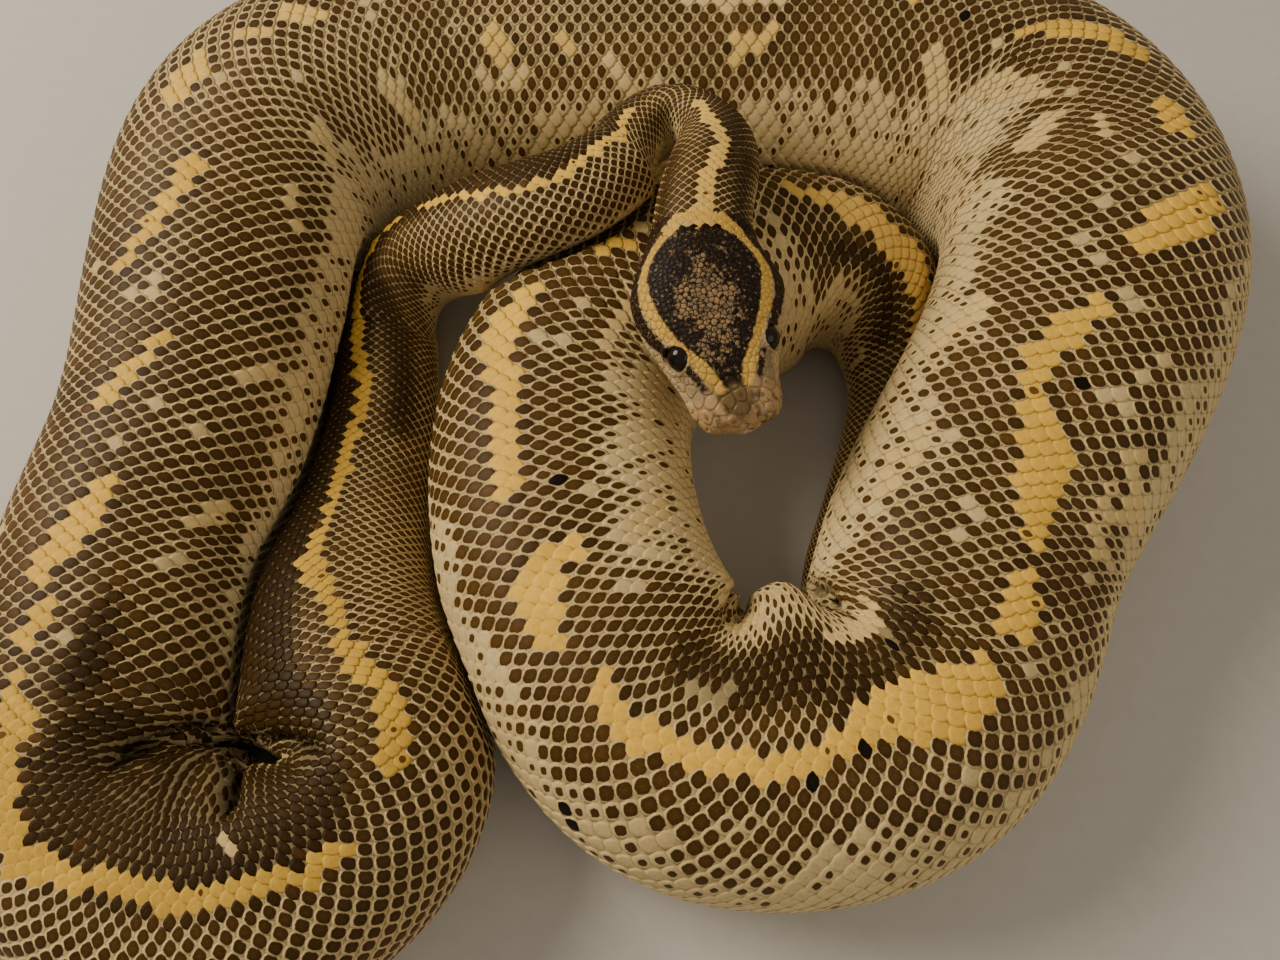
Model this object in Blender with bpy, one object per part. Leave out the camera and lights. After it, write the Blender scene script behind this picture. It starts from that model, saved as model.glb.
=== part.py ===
"""A ball python lying in a loose coil with its head resting on its own body, life size.

The animal is one tapering tube that follows a route over the floor. Thin cuts part
it into head, jaw, neck, eight lengths of trunk and tail. Where two lengths press on
each other both are flattened, as soft bodies are. Units are metres, +Z is up and the
floor is z = 0. Distances along the body are measured over the floor from the nape:
the snout is at a negative distance and the tail tip at the largest one.
"""

import math

import bmesh
import bpy
import numpy as np
from mathutils import Matrix, Vector

PART_NAME = "coiled_ball_python"

# Head sizes: distance behind the snout, half width, height above and below the axis.
HEAD_PROFILE = (
    (0.0000, 0.0016, 0.0010, 0.0010),
    (0.0008, 0.0054, 0.0026, 0.0027),
    (0.0026, 0.0083, 0.0040, 0.0040),
    (0.0060, 0.0096, 0.0050, 0.0049),
    (0.0112, 0.0107, 0.0063, 0.0056),
    (0.0172, 0.0127, 0.0078, 0.0067),
    (0.0237, 0.0152, 0.0087, 0.0080),
    (0.0293, 0.0164, 0.0093, 0.0090),
    (0.0344, 0.0149, 0.0096, 0.0094),
    (0.0395, 0.0122, 0.0098, 0.0095),
)
HEAD_AIM = 0.6  # the head's frame is level with its axis at this share of its length
HEAD_DROP = 0.0105  # the snout points down: its axis is this much lower than the nape's

MOUTH_DROP = 0.0016  # the mouth line lies this far below the head's axis
MOUTH_LENGTH = 0.0298
MOUTH_BOX = 0.03  # half width and depth of the boxes that part the jaw from the head
SNOUT_RINGS = (0.0, 0.0008, 0.0020)  # close rings behind the snout, then even ones
SNOUT_END = 0.0040
EYE_RADIUS = 0.0030
EYE_BACK = 0.0170
EYE_OUT = 0.0088
EYE_RISE = 0.0033

# The axis seen from above, snout first and nape second.
ROUTE = (
    (0.0217, -0.0004), (0.0133, 0.0440),
    # neck: away, over the inner length and down to the left
    (0.0150, 0.0550), (0.0160, 0.0700), (0.0075, 0.0805), (-0.0055, 0.0690),
    (-0.0220, 0.0590), (-0.0410, 0.0610), (-0.0580, 0.0610),
    # first length, between two fat ones
    (-0.0650, 0.0470), (-0.0645, 0.0290), (-0.0650, 0.0110), (-0.0662, -0.0090),
    (-0.0655, -0.0270), (-0.0595, -0.0460),
    # front left bend
    (-0.0550, -0.0620), (-0.0630, -0.0770), (-0.0820, -0.0840), (-0.1010, -0.0780),
    (-0.1105, -0.0640),
    # left side, back and right side
    (-0.1110, -0.0450), (-0.1105, -0.0180), (-0.1060, 0.0080), (-0.1035, 0.0350),
    (-0.1020, 0.0630), (-0.0945, 0.0935), (-0.0670, 0.1155), (-0.0240, 0.1210),
    (0.0220, 0.1210), (0.0650, 0.1170), (0.0960, 0.1010), (0.1085, 0.0730),
    (0.1035, 0.0430), (0.0880, 0.0120), (0.0705, -0.0185),
    # front right bend
    (0.0635, -0.0370), (0.0520, -0.0520), (0.0290, -0.0590), (0.0090, -0.0550),
    (-0.0030, -0.0430),
    # inner length, then round to the right below the head
    (-0.0115, -0.0270), (-0.0165, -0.0090), (-0.0180, 0.0090), (-0.0150, 0.0260),
    (-0.0040, 0.0430), (0.0150, 0.0555), (0.0330, 0.0615), (0.0500, 0.0610),
    # tail, tucked along the inside of the right length
    (0.0620, 0.0530), (0.0655, 0.0410), (0.0635, 0.0290), (0.0565, 0.0140),
    (0.0490, 0.0000), (0.0430, -0.0110), (0.0400, -0.0190),
)

COIL_CENTRE = (0.0024, 0.0239)  # middle of the coil's outline, which is put at the origin

# Half width of the body at distances behind the nape.
GIRTH = (
    (0.000, 0.0110), (0.040, 0.0101), (0.095, 0.0135), (0.150, 0.0141),
    (0.175, 0.0155), (0.205, 0.0212), (0.235, 0.0252), (0.285, 0.0256),
    (0.340, 0.0282), (0.390, 0.0290), (0.440, 0.0324), (0.490, 0.0358),
    (0.600, 0.0360), (0.675, 0.0374), (0.740, 0.0340), (0.815, 0.0314),
    (0.860, 0.0302), (0.980, 0.0301), (1.030, 0.0284), (1.060, 0.0252),
    (1.080, 0.0194), (1.104, 0.0118), (1.135, 0.0063), (1.158, 0.0020),
)
# Height of the belly above the floor at distances behind the nape.
LIFT = (
    (0.000, 0.0520), (0.011, 0.0515), (0.026, 0.0470), (0.040, 0.0430),
    (0.058, 0.0415), (0.078, 0.0375), (0.097, 0.0240), (0.114, 0.0085),
    (0.131, 0.0000), (0.675, 0.0000), (0.711, 0.0040), (0.741, 0.0100),
    (0.776, 0.0080), (0.811, 0.0025), (0.840, 0.0000), (1.200, 0.0000),
)
TRUNK_FLATNESS = 0.86  # half height over half width
NECK_FLATNESS = 0.95
FLATNESS_FROM = 0.12
FLATNESS_TO = 0.20
TAIL_LENGTH = 0.11  # the section turns rounder again over this length to the tip
ROUNDNESS = 2.25  # exponent of the section's outline, where 2 is an ellipse
BELLY_LEVEL = 0.95  # the belly is flat at this share of the half height
SAG = 0.05  # how much wider the flanks are below the middle than above
ON_FLOOR = 0.0002  # a length lifted less than this rests on the floor
FLAT_COSINE = -0.94  # points further round than this make the flat of the belly

NECK_CUT = -0.0015
TRUNK_CUTS = (0.120, 0.215, 0.340, 0.460, 0.580, 0.695, 0.820, 0.925, 1.067)
CUT_GAP = 0.0003
PRESS_GAP = 0.0012
BEND_ROOM = 0.96  # the inner flank keeps within this share of a bend's radius
BEND_EASE = 8  # exponent with which the inner flank nears that limit
SAME_LENGTH = 2.0  # lengths closer than this many widths along the body don't press
SAME_MARGIN = 0.005
REACH = 2.2  # a sample of the axis is felt this many half widths away
LENS = 0.6  # and this many half widths along the body
HALVINGS = 14

# Skin bulges on the inside of the two tight bends, between these distances.
BULGES = ((0.248, 0.283), (0.283, 0.313), (0.822, 0.918))
BULGE_RISE = 0.10
BULGE_ANGLE = math.radians(62)
BULGE_SPREAD = math.radians(42)

# The skin round the pits inside those bends is pushed: place, push and reach.
PUSHES = ((0.0245, -0.0545, 0.0, 0.0048, 0.0135),)
# Then it's drawn in, so that each pit nearly closes: place, radius of the pit and reach.
PITS = (
    (-0.0850, -0.0803, 0.0026, 0.0150), (-0.0775, -0.0842, 0.0012, 0.0080),
    (0.0200, -0.0515, 0.0015, 0.0080),
)

AXIS_STEP = 0.002
EASE = 4  # samples on either side over which heights and bends are averaged
PEAK = 5  # samples on either side that the tightest bend is felt
RING_SPACING = 0.0095
HEAD_RING_SPACING = 0.0032
RING_SIDES = 20

SKIN_CREAM = (0.56, 0.44, 0.23, 1.0)
SCALE_BROWN = (0.16, 0.09, 0.04, 1.0)
EYE_BLACK = (0.010, 0.010, 0.012, 1.0)


def clear_scene():
    for obj in list(bpy.data.objects):
        bpy.data.objects.remove(obj)


def new_material(name, colour, roughness):
    material = bpy.data.materials.new(name)
    material.use_nodes = True
    shader = material.node_tree.nodes["Principled BSDF"]
    shader.inputs["Base Color"].default_value = colour
    shader.inputs["Roughness"].default_value = roughness
    shader.inputs["Metallic"].default_value = 0.0
    return material


def smoothstep(x):
    x = np.clip(x, 0, 1)
    return x * x * (3 - 2 * x)


def profile(rows, column, at):
    """Cubic through one column of a table that never overshoots between its rows."""
    table = np.array(rows)
    knots, values = table[:, 0], table[:, column]
    step = np.diff(knots)
    slope = np.diff(values) / step
    both = slope[1:] * slope[:-1]
    total = np.where(both > 0, slope[1:] + slope[:-1], 1)
    tangent = np.concatenate([slope[:1], np.where(both > 0, 2 * both / total, 0), slope[-1:]])
    at = np.clip(at, knots[0], knots[-1])
    cell = np.clip(np.searchsorted(knots, at, side="right") - 1, 0, len(step) - 1)
    t = (at - knots[cell]) / step[cell]
    eased = t * t * (3 - 2 * t)
    start = (t**3 - 2 * t**2 + t) * step[cell] * tangent[cell]
    end = (t**3 - t**2) * step[cell] * tangent[cell + 1]
    return values[cell] * (1 - eased) + values[cell + 1] * eased + start + end


def smooth_route(points, samples_per_leg=24):
    """Natural cubic spline through the points, as a dense line."""
    points = np.array(points)
    count = len(points)
    step = np.linalg.norm(np.diff(points, axis=0), axis=1)
    knots = np.concatenate([[0], np.cumsum(step)])
    matrix = np.eye(count)
    change = np.zeros_like(points)
    slope = np.diff(points, axis=0) / step[:, None]
    for i in range(1, count - 1):
        matrix[i, i - 1 : i + 2] = step[i - 1], 2 * (step[i - 1] + step[i]), step[i]
        change[i] = 6 * (slope[i] - slope[i - 1])
    bend = np.linalg.solve(matrix, change)
    at = np.linspace(0, knots[-1], count * samples_per_leg)
    cell = np.clip(np.searchsorted(knots, at, side="right") - 1, 0, count - 2)
    width = step[cell][:, None]
    b = (at - knots[cell])[:, None] / width
    a = 1 - b
    straight = a * points[cell] + b * points[cell + 1]
    return straight + ((a**3 - a) * bend[cell] + (b**3 - b) * bend[cell + 1]) * width**2 / 6


def moving_mean(values, reach):
    """Running average of a line of values, with its ends held."""
    padded = np.pad(values, reach, mode="edge")
    return np.convolve(padded, np.ones(2 * reach + 1) / (2 * reach + 1), mode="valid")


def moving_peak(values, reach):
    """Largest value within reach on either side of each place in a line of values."""
    padded = np.pad(values, reach, mode="edge")
    return np.max([padded[i : i + len(values)] for i in range(2 * reach + 1)], axis=0)


class Axis:
    """The body's axis: place, directions, section sizes and bend at every distance."""

    def __init__(self):
        line = smooth_route(ROUTE)
        along = np.concatenate([[0], np.cumsum(np.linalg.norm(np.diff(line, axis=0), axis=1))])
        nape = along[np.argmin(np.linalg.norm(line - np.array(ROUTE[1]), axis=1))]
        self.first = -nape
        self.last = along[-1] - nape
        count = int(round((self.last - self.first) / AXIS_STEP)) + 1
        self.s = np.linspace(self.first, self.last, count)
        plan = [np.interp(self.s + nape, along, line[:, i]) - COIL_CENTRE[i] for i in (0, 1)]
        self.sizes = self.section_sizes()
        height = profile(LIFT, 1, self.s) + BELLY_LEVEL * self.sizes[2]
        at_nape = np.interp(0, self.s, height)
        slope = HEAD_DROP / nape
        height = np.where(self.s < 0, at_nape + self.s * slope, height)
        height = np.where(profile(LIFT, 1, self.s) > ON_FLOOR, moving_mean(height, EASE), height)
        self.points = np.stack([*plan, height], 1)
        forward = -np.gradient(self.points, axis=0)
        self.forward = forward / np.linalg.norm(forward, axis=1, keepdims=True)
        side = np.cross((0.0, 0.0, 1.0), self.forward)
        self.side = side / np.linalg.norm(side, axis=1, keepdims=True)
        self.up = np.cross(self.forward, self.side)
        heading = np.unwrap(np.arctan2(self.forward[:, 1], self.forward[:, 0]))
        turn = -np.gradient(heading, self.s)
        self.turn = moving_mean(turn, EASE)
        self.tightest = moving_mean(moving_peak(np.abs(turn), PEAK), EASE)

    def section_sizes(self):
        """Half width, height above and height below the axis, at every sample."""
        behind = self.s - self.first
        neck = smoothstep((behind - HEAD_PROFILE[-1][0]) / (-self.first - HEAD_PROFILE[-1][0]))
        flat = smoothstep((self.s - FLATNESS_FROM) / (FLATNESS_TO - FLATNESS_FROM))
        flat *= smoothstep((self.last - self.s) / TAIL_LENGTH)
        flatness = NECK_FLATNESS + (TRUNK_FLATNESS - NECK_FLATNESS) * flat
        girth = profile(GIRTH, 1, self.s)
        body = girth, girth * flatness, girth * flatness
        head = [profile(HEAD_PROFILE, column, behind) for column in (1, 2, 3)]
        return [h * (1 - neck) + b * neck for h, b in zip(head, body)]

    def at(self, s, values):
        values = np.asarray(values)
        if values.ndim == 1:
            return np.interp(s, self.s, values)
        return np.stack([np.interp(s, self.s, column) for column in values.T], 1)


def outline(axis, s, angles):
    """Sideways and upward offsets of the section at each distance s and angle.

    Angle 0 is the middle of the back. Positive angles go to the animal's left.
    """
    width, rise, drop = (axis.at(s, size)[:, None] for size in axis.sizes)
    turn = axis.at(s, axis.turn)[:, None]
    power = 2 / ROUNDNESS
    sine, cosine = np.sin(angles)[None], np.cos(angles)[None]
    across = np.sign(sine) * np.abs(sine) ** power * np.ones_like(width)
    upward = np.sign(cosine) * np.abs(cosine) ** power * np.ones_like(width)
    upward = np.maximum(upward, -BELLY_LEVEL)
    bulge = np.ones_like(across)
    inner = np.abs(angles)[None] * np.where(np.sign(sine) == np.sign(turn), 1, -1)
    window = np.exp(-(((inner - BULGE_ANGLE) / BULGE_SPREAD) ** 2))
    for start, end in BULGES:
        share = np.clip((s - start) / (end - start), 0, 1)[:, None]
        bulge += BULGE_RISE * np.sin(np.pi * share) * window
    room = BEND_ROOM / np.maximum(axis.at(s, axis.tightest)[:, None], 1e-3)
    inside = np.sign(sine) == np.sign(turn)
    bulged = width * bulge
    squeezed = bulged / (1 + (bulged / room) ** BEND_EASE) ** (1 / BEND_EASE)
    reach = np.where(inside, squeezed, width) * (1 - SAG * upward)
    height = np.where(upward > 0, rise * bulge, drop)
    return across * reach, upward * height


def gauge(axis, points, own):
    """How far points lie inside other lengths: under 1 is inside. Also their radius there."""
    width, rise, drop = axis.sizes
    best = np.full(len(points), np.inf)
    radius = np.ones(len(points))
    own_width = np.interp(own, axis.s, width)
    for i in range(len(axis.s)):
        offset = points - axis.points[i]
        near = np.einsum("ij,ij->i", offset, offset) < (REACH * width[i]) ** 2
        apart = SAME_LENGTH * np.maximum(own_width, width[i]) + SAME_MARGIN
        near &= np.abs(own - axis.s[i]) > apart
        if not near.any():
            continue
        offset = offset[near]
        upward = offset @ axis.up[i]
        high = upward / np.where(upward > 0, rise[i], drop[i])
        wide = (offset @ axis.side[i]) / (width[i] * (1 - SAG * np.clip(high, -1, 1)))
        far = (offset @ axis.forward[i]) / (LENS * width[i])
        size = sum(np.abs(part) ** ROUNDNESS for part in (high, wide, far)) ** (1 / ROUNDNESS)
        closer = size < best[near]
        chosen = np.flatnonzero(near)[closer]
        best[chosen] = size[closer]
        radius[chosen] = width[i]
    return best, radius


def pressed(axis, centres, points, own, gap):
    """Draws points back to their own axis until they're clear of the other lengths."""
    own_width = np.interp(own, axis.s, axis.sizes[0])

    def clearance(chosen, share):
        spot = centres[chosen] + share[:, None] * (points[chosen] - centres[chosen])
        size, radius = gauge(axis, spot, own[chosen])
        margin = gap / 2 * (1 / own_width[chosen] + 1 / radius)
        return size - share - margin

    everything = np.arange(len(points))
    tight = everything[clearance(everything, np.ones(len(points))) < 0]
    low, high = np.zeros(len(tight)), np.ones(len(tight))
    for _ in range(HALVINGS):
        middle = (low + high) / 2
        free = clearance(tight, middle) > 0
        low = np.where(free, middle, low)
        high = np.where(free, high, middle)
    result = points.copy()
    result[tight] = centres[tight] + low[:, None] * (points[tight] - centres[tight])
    return result


def gathered(points):
    """Points drawn in towards the pits inside the tight bends, as seen from above."""
    plan = points[:, :2].copy()
    for x, y, push_x, push_y, reach in PUSHES:
        share = 1 - smoothstep(np.linalg.norm(plan - (x, y), axis=1) / reach)
        plan += share[:, None] * np.array((push_x, push_y))
    for x, y, pit, reach in PITS:
        offset = plan - (x, y)
        away = np.maximum(np.linalg.norm(offset, axis=1), pit)
        drawn = pit * (1 - smoothstep((away - pit) / (reach - pit)))
        plan -= offset * (drawn / away)[:, None]
    return np.column_stack([plan, points[:, 2]])


def body_rings(axis, s, gap):
    """The rings of points round the body at distances s, after pressing."""
    angles = np.arange(RING_SIDES) * 2 * math.pi / RING_SIDES
    angles = np.where(angles > math.pi + 1e-9, angles - 2 * math.pi, angles)
    across, upward = outline(axis, s, angles)
    centre, side, up = (axis.at(s, v) for v in (axis.points, axis.side, axis.up))
    points = centre[:, None] + across[..., None] * side[:, None] + upward[..., None] * up[:, None]
    flat = (profile(LIFT, 1, s) < ON_FLOOR)[:, None] & (np.cos(angles) < FLAT_COSINE)[None]
    points[..., 2] = np.where(flat, 0.0, np.maximum(points[..., 2], 0.0))
    own = np.repeat(s, RING_SIDES)
    centres = np.repeat(centre, RING_SIDES, axis=0)
    moved = pressed(axis, centres, points.reshape(-1, 3), own, gap)
    moved = gathered(moved).reshape(points.shape)
    moved[..., 2] = np.where(flat, 0.0, moved[..., 2])
    return moved


def loft(name, rings):
    """A closed mesh from rings of points, the first and last of which are capped."""
    mesh = bmesh.new()
    rows = [[mesh.verts.new(point) for point in ring] for ring in rings]
    for row, following in zip(rows, rows[1:]):
        for i in range(len(row)):
            j = (i + 1) % len(row)
            mesh.faces.new((row[i], row[j], following[j], following[i]))
    mesh.faces.new(rows[0][::-1])
    mesh.faces.new(rows[-1])
    bmesh.ops.recalc_face_normals(mesh, faces=mesh.faces)
    data = bpy.data.meshes.new(name)
    mesh.to_mesh(data)
    mesh.free()
    data.shade_smooth()
    return bpy.data.objects.new(name, data)


def ring_distances(start, end, spacing):
    return np.linspace(start, end, max(int(math.ceil((end - start) / spacing)), 2) + 1)


def head_frame(axis):
    """World matrix at the snout: +X to the animal's left, +Y forward, +Z up its head."""
    middle = np.array([axis.first * HEAD_AIM])
    left, ahead, up = (axis.at(middle, v)[0] for v in (axis.side, axis.forward, axis.up))
    frame = Matrix(np.column_stack([-left, ahead, up]).tolist()).to_4x4()
    frame.translation = Vector(axis.points[0])
    return frame


def eye_places(axis):
    centre, side, up = (
        axis.at(np.array([axis.first + EYE_BACK]), v)[0] for v in (axis.points, axis.side, axis.up)
    )
    return {
        "left": centre + EYE_OUT * side + EYE_RISE * up,
        "right": centre - EYE_OUT * side + EYE_RISE * up,
    }


def ball(name, place, radius):
    mesh = bmesh.new()
    bmesh.ops.create_uvsphere(mesh, u_segments=20, v_segments=12, radius=radius)
    data = bpy.data.meshes.new(name)
    mesh.to_mesh(data)
    mesh.free()
    data.shade_smooth()
    obj = bpy.data.objects.new(name, data)
    obj.location = place
    return obj


def cutting_box(name, frame, low, high):
    mesh = bmesh.new()
    bmesh.ops.create_cube(mesh, size=1.0)
    low, high = Vector(low), Vector(high)
    for vertex in mesh.verts:
        vertex.co = Vector((vertex.co[i] + 0.5) * (high[i] - low[i]) + low[i] for i in range(3))
    data = bpy.data.meshes.new(name)
    mesh.to_mesh(data)
    mesh.free()
    obj = bpy.data.objects.new(name, data)
    obj.matrix_world = frame
    return obj


def hide_cutter(obj, collection):
    collection.objects.link(obj)
    obj.hide_render = True
    obj.hide_set(True)
    obj.display_type = "WIRE"


def cut_with(obj, cutter, operation):
    modifier = obj.modifiers.new(cutter.name, "BOOLEAN")
    modifier.operation = operation
    modifier.object = cutter


def add_head(axis, parts, cutters, skin):
    """Upper head and lower jaw, parted along the mouth line, with sockets for the eyes."""
    even = ring_distances(axis.first + SNOUT_END, NECK_CUT - CUT_GAP / 2, HEAD_RING_SPACING)
    rings = body_rings(axis, np.concatenate([axis.first + np.array(SNOUT_RINGS), even]), PRESS_GAP)
    frame = head_frame(axis)
    back = (-MOUTH_BOX, -MOUTH_LENGTH, -MOUTH_BOX), (-MOUTH_BOX, CUT_GAP - MOUTH_LENGTH, -MOUTH_BOX)
    mouth_top = back[0], (MOUTH_BOX, MOUTH_BOX, -MOUTH_DROP + CUT_GAP / 2)
    mouth_low = back[1], (MOUTH_BOX, MOUTH_BOX, -MOUTH_DROP - CUT_GAP / 2)
    head = loft("head", rings)
    jaw = loft("lower_jaw", rings)
    for obj, box, operation in ((head, mouth_top, "DIFFERENCE"), (jaw, mouth_low, "INTERSECT")):
        cutter = cutting_box(obj.name + "_mouth_cut", frame, *box)
        hide_cutter(cutter, cutters)
        cut_with(obj, cutter, operation)
        obj.data.materials.append(skin)
        parts.objects.link(obj)
    for side, place in eye_places(axis).items():
        socket = ball("socket_" + side, place, EYE_RADIUS + CUT_GAP)
        hide_cutter(socket, cutters)
        cut_with(head, socket, "DIFFERENCE")


def add_eyes(axis, parts, material):
    for side, place in eye_places(axis).items():
        eye = ball("eye_" + side, place, EYE_RADIUS)
        eye.data.materials.append(material)
        parts.objects.link(eye)


def add_lengths(axis, parts, material):
    """Neck, trunk and tail, each one length of the tube between two thin cuts."""
    cuts = (NECK_CUT, *TRUNK_CUTS, axis.last)
    names = ["neck", *(f"trunk_{i}" for i in range(1, len(TRUNK_CUTS))), "tail"]
    for name, start, end in zip(names, cuts, cuts[1:]):
        near_end = end if name == "tail" else end - CUT_GAP / 2
        s = ring_distances(start + CUT_GAP / 2, near_end, RING_SPACING)
        length = loft(name, body_rings(axis, s, PRESS_GAP))
        length.data.materials.append(material)
        parts.objects.link(length)


def main():
    clear_scene()
    parts = bpy.data.collections.new(PART_NAME)
    cutters = bpy.data.collections.new("cutters")
    for collection in (parts, cutters):
        bpy.context.scene.collection.children.link(collection)
    axis = Axis()
    skin = new_material("cream_skin", SKIN_CREAM, 0.45)
    scales = new_material("brown_scales", SCALE_BROWN, 0.40)
    eyes = new_material("eye", EYE_BLACK, 0.08)
    add_head(axis, parts, cutters, scales)
    add_eyes(axis, parts, eyes)
    add_lengths(axis, parts, skin)


main()
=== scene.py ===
"""Looks of the coiled ball python: one skin, solid scales over it, head plates and eyes.

The body's axis and section sizes repeat those of the CAD solids. Every place on the
skin has two coordinates: s, the distance over the floor behind the nape in metres,
and u, the share of the half girth from the middle of the back, which is positive on
the animal's left and +-1 at the middle of the belly.
"""

import math

import bpy
import numpy as np
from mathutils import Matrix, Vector
from mathutils.bvhtree import BVHTree


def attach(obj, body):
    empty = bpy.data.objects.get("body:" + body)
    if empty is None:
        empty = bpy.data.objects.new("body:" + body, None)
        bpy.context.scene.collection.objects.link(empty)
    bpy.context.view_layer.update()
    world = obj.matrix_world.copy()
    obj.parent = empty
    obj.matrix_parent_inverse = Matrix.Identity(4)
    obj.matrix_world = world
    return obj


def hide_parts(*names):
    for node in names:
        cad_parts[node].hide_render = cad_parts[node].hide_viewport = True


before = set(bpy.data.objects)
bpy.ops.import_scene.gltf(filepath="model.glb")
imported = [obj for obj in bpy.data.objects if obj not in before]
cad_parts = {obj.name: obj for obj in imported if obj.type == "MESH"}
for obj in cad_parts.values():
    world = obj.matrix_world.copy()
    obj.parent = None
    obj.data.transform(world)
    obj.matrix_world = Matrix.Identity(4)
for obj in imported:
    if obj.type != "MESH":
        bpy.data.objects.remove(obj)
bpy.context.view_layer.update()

# ------------------------------------------------------------------ the CAD's own sizes

HEAD_PROFILE = (
    (0.0000, 0.0016, 0.0010, 0.0010),
    (0.0008, 0.0054, 0.0026, 0.0027),
    (0.0026, 0.0083, 0.0040, 0.0040),
    (0.0060, 0.0096, 0.0050, 0.0049),
    (0.0112, 0.0107, 0.0063, 0.0056),
    (0.0172, 0.0127, 0.0078, 0.0067),
    (0.0237, 0.0152, 0.0087, 0.0080),
    (0.0293, 0.0164, 0.0093, 0.0090),
    (0.0344, 0.0149, 0.0096, 0.0094),
    (0.0395, 0.0122, 0.0098, 0.0095),
)
HEAD_DROP = 0.0105
MOUTH_DROP = 0.0016
MOUTH_LENGTH = 0.0298
EYE_RADIUS = 0.0030
EYE_BACK = 0.0170
EYE_OUT = 0.0088
EYE_RISE = 0.0033
ROUTE = (
    (0.0217, -0.0004), (0.0133, 0.0440),
    (0.0150, 0.0550), (0.0160, 0.0700), (0.0075, 0.0805), (-0.0055, 0.0690),
    (-0.0220, 0.0590), (-0.0410, 0.0610), (-0.0580, 0.0610),
    (-0.0650, 0.0470), (-0.0645, 0.0290), (-0.0650, 0.0110), (-0.0662, -0.0090),
    (-0.0655, -0.0270), (-0.0595, -0.0460),
    (-0.0550, -0.0620), (-0.0630, -0.0770), (-0.0820, -0.0840), (-0.1010, -0.0780),
    (-0.1105, -0.0640),
    (-0.1110, -0.0450), (-0.1105, -0.0180), (-0.1060, 0.0080), (-0.1035, 0.0350),
    (-0.1020, 0.0630), (-0.0945, 0.0935), (-0.0670, 0.1155), (-0.0240, 0.1210),
    (0.0220, 0.1210), (0.0650, 0.1170), (0.0960, 0.1010), (0.1085, 0.0730),
    (0.1035, 0.0430), (0.0880, 0.0120), (0.0705, -0.0185),
    (0.0635, -0.0370), (0.0520, -0.0520), (0.0290, -0.0590), (0.0090, -0.0550),
    (-0.0030, -0.0430),
    (-0.0115, -0.0270), (-0.0165, -0.0090), (-0.0180, 0.0090), (-0.0150, 0.0260),
    (-0.0040, 0.0430), (0.0150, 0.0555), (0.0330, 0.0615), (0.0500, 0.0610),
    (0.0620, 0.0530), (0.0655, 0.0410), (0.0635, 0.0290), (0.0565, 0.0140),
    (0.0490, 0.0000), (0.0430, -0.0110), (0.0400, -0.0190),
)
COIL_CENTRE = (0.0024, 0.0239)
GIRTH = (
    (0.000, 0.0110), (0.040, 0.0101), (0.095, 0.0135), (0.150, 0.0141),
    (0.175, 0.0155), (0.205, 0.0212), (0.235, 0.0252), (0.285, 0.0256),
    (0.340, 0.0282), (0.390, 0.0290), (0.440, 0.0324), (0.490, 0.0358),
    (0.600, 0.0360), (0.675, 0.0374), (0.740, 0.0340), (0.815, 0.0314),
    (0.860, 0.0302), (0.980, 0.0301), (1.030, 0.0284), (1.060, 0.0252),
    (1.080, 0.0194), (1.104, 0.0118), (1.135, 0.0063), (1.158, 0.0020),
)
LIFT = (
    (0.000, 0.0520), (0.011, 0.0515), (0.026, 0.0470), (0.040, 0.0430),
    (0.058, 0.0415), (0.078, 0.0375), (0.097, 0.0240), (0.114, 0.0085),
    (0.131, 0.0000), (0.675, 0.0000), (0.711, 0.0040), (0.741, 0.0100),
    (0.776, 0.0080), (0.811, 0.0025), (0.840, 0.0000), (1.200, 0.0000),
)
TRUNK_FLATNESS = 0.86
NECK_FLATNESS = 0.95
FLATNESS_FROM = 0.12
FLATNESS_TO = 0.20
TAIL_LENGTH = 0.11
ROUNDNESS = 2.25
BELLY_LEVEL = 0.95
SAG = 0.05
ON_FLOOR = 0.0002
FLAT_COSINE = -0.94
PRESS_GAP = 0.0012
BEND_ROOM = 0.96
BEND_EASE = 8
SAME_LENGTH = 2.0
SAME_MARGIN = 0.005
REACH = 2.2
LENS = 0.6
HALVINGS = 11
BULGES = ((0.248, 0.283), (0.283, 0.313), (0.822, 0.918))
BULGE_RISE = 0.10
BULGE_ANGLE = math.radians(62)
BULGE_SPREAD = math.radians(42)
PUSHES = ((0.0245, -0.0545, 0.0, 0.0048, 0.0135),)
PITS = (
    (-0.0850, -0.0803, 0.0026, 0.0150), (-0.0775, -0.0842, 0.0012, 0.0080),
    (0.0200, -0.0515, 0.0015, 0.0080),
)
AXIS_STEP = 0.002
EASE = 4
PEAK = 5

# --------------------------------------------------------------------- the skin's sizes

SKIN_DEPTH = 0.00055  # how far the skin lies inside the solids, which is the coat's depth
SKIN_COLUMNS = 152
HEAD_STEP = 0.00040
BODY_STEP = 0.0030
FOLD_STEP = 0.0012  # closer rings where the skin is folded
FOLDS = ((0.222, 0.336), (0.832, 0.924))
HEAD_END = 0.006  # the fine rings of the head go this far behind the nape
BAKE_STRIPS = 8  # strips of the skin on its bake map
BAKE_STEP = 0.0016  # half the size of a scale or plate on its bake map
FAR = 99.0  # mm, where no mark or crease is near

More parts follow.
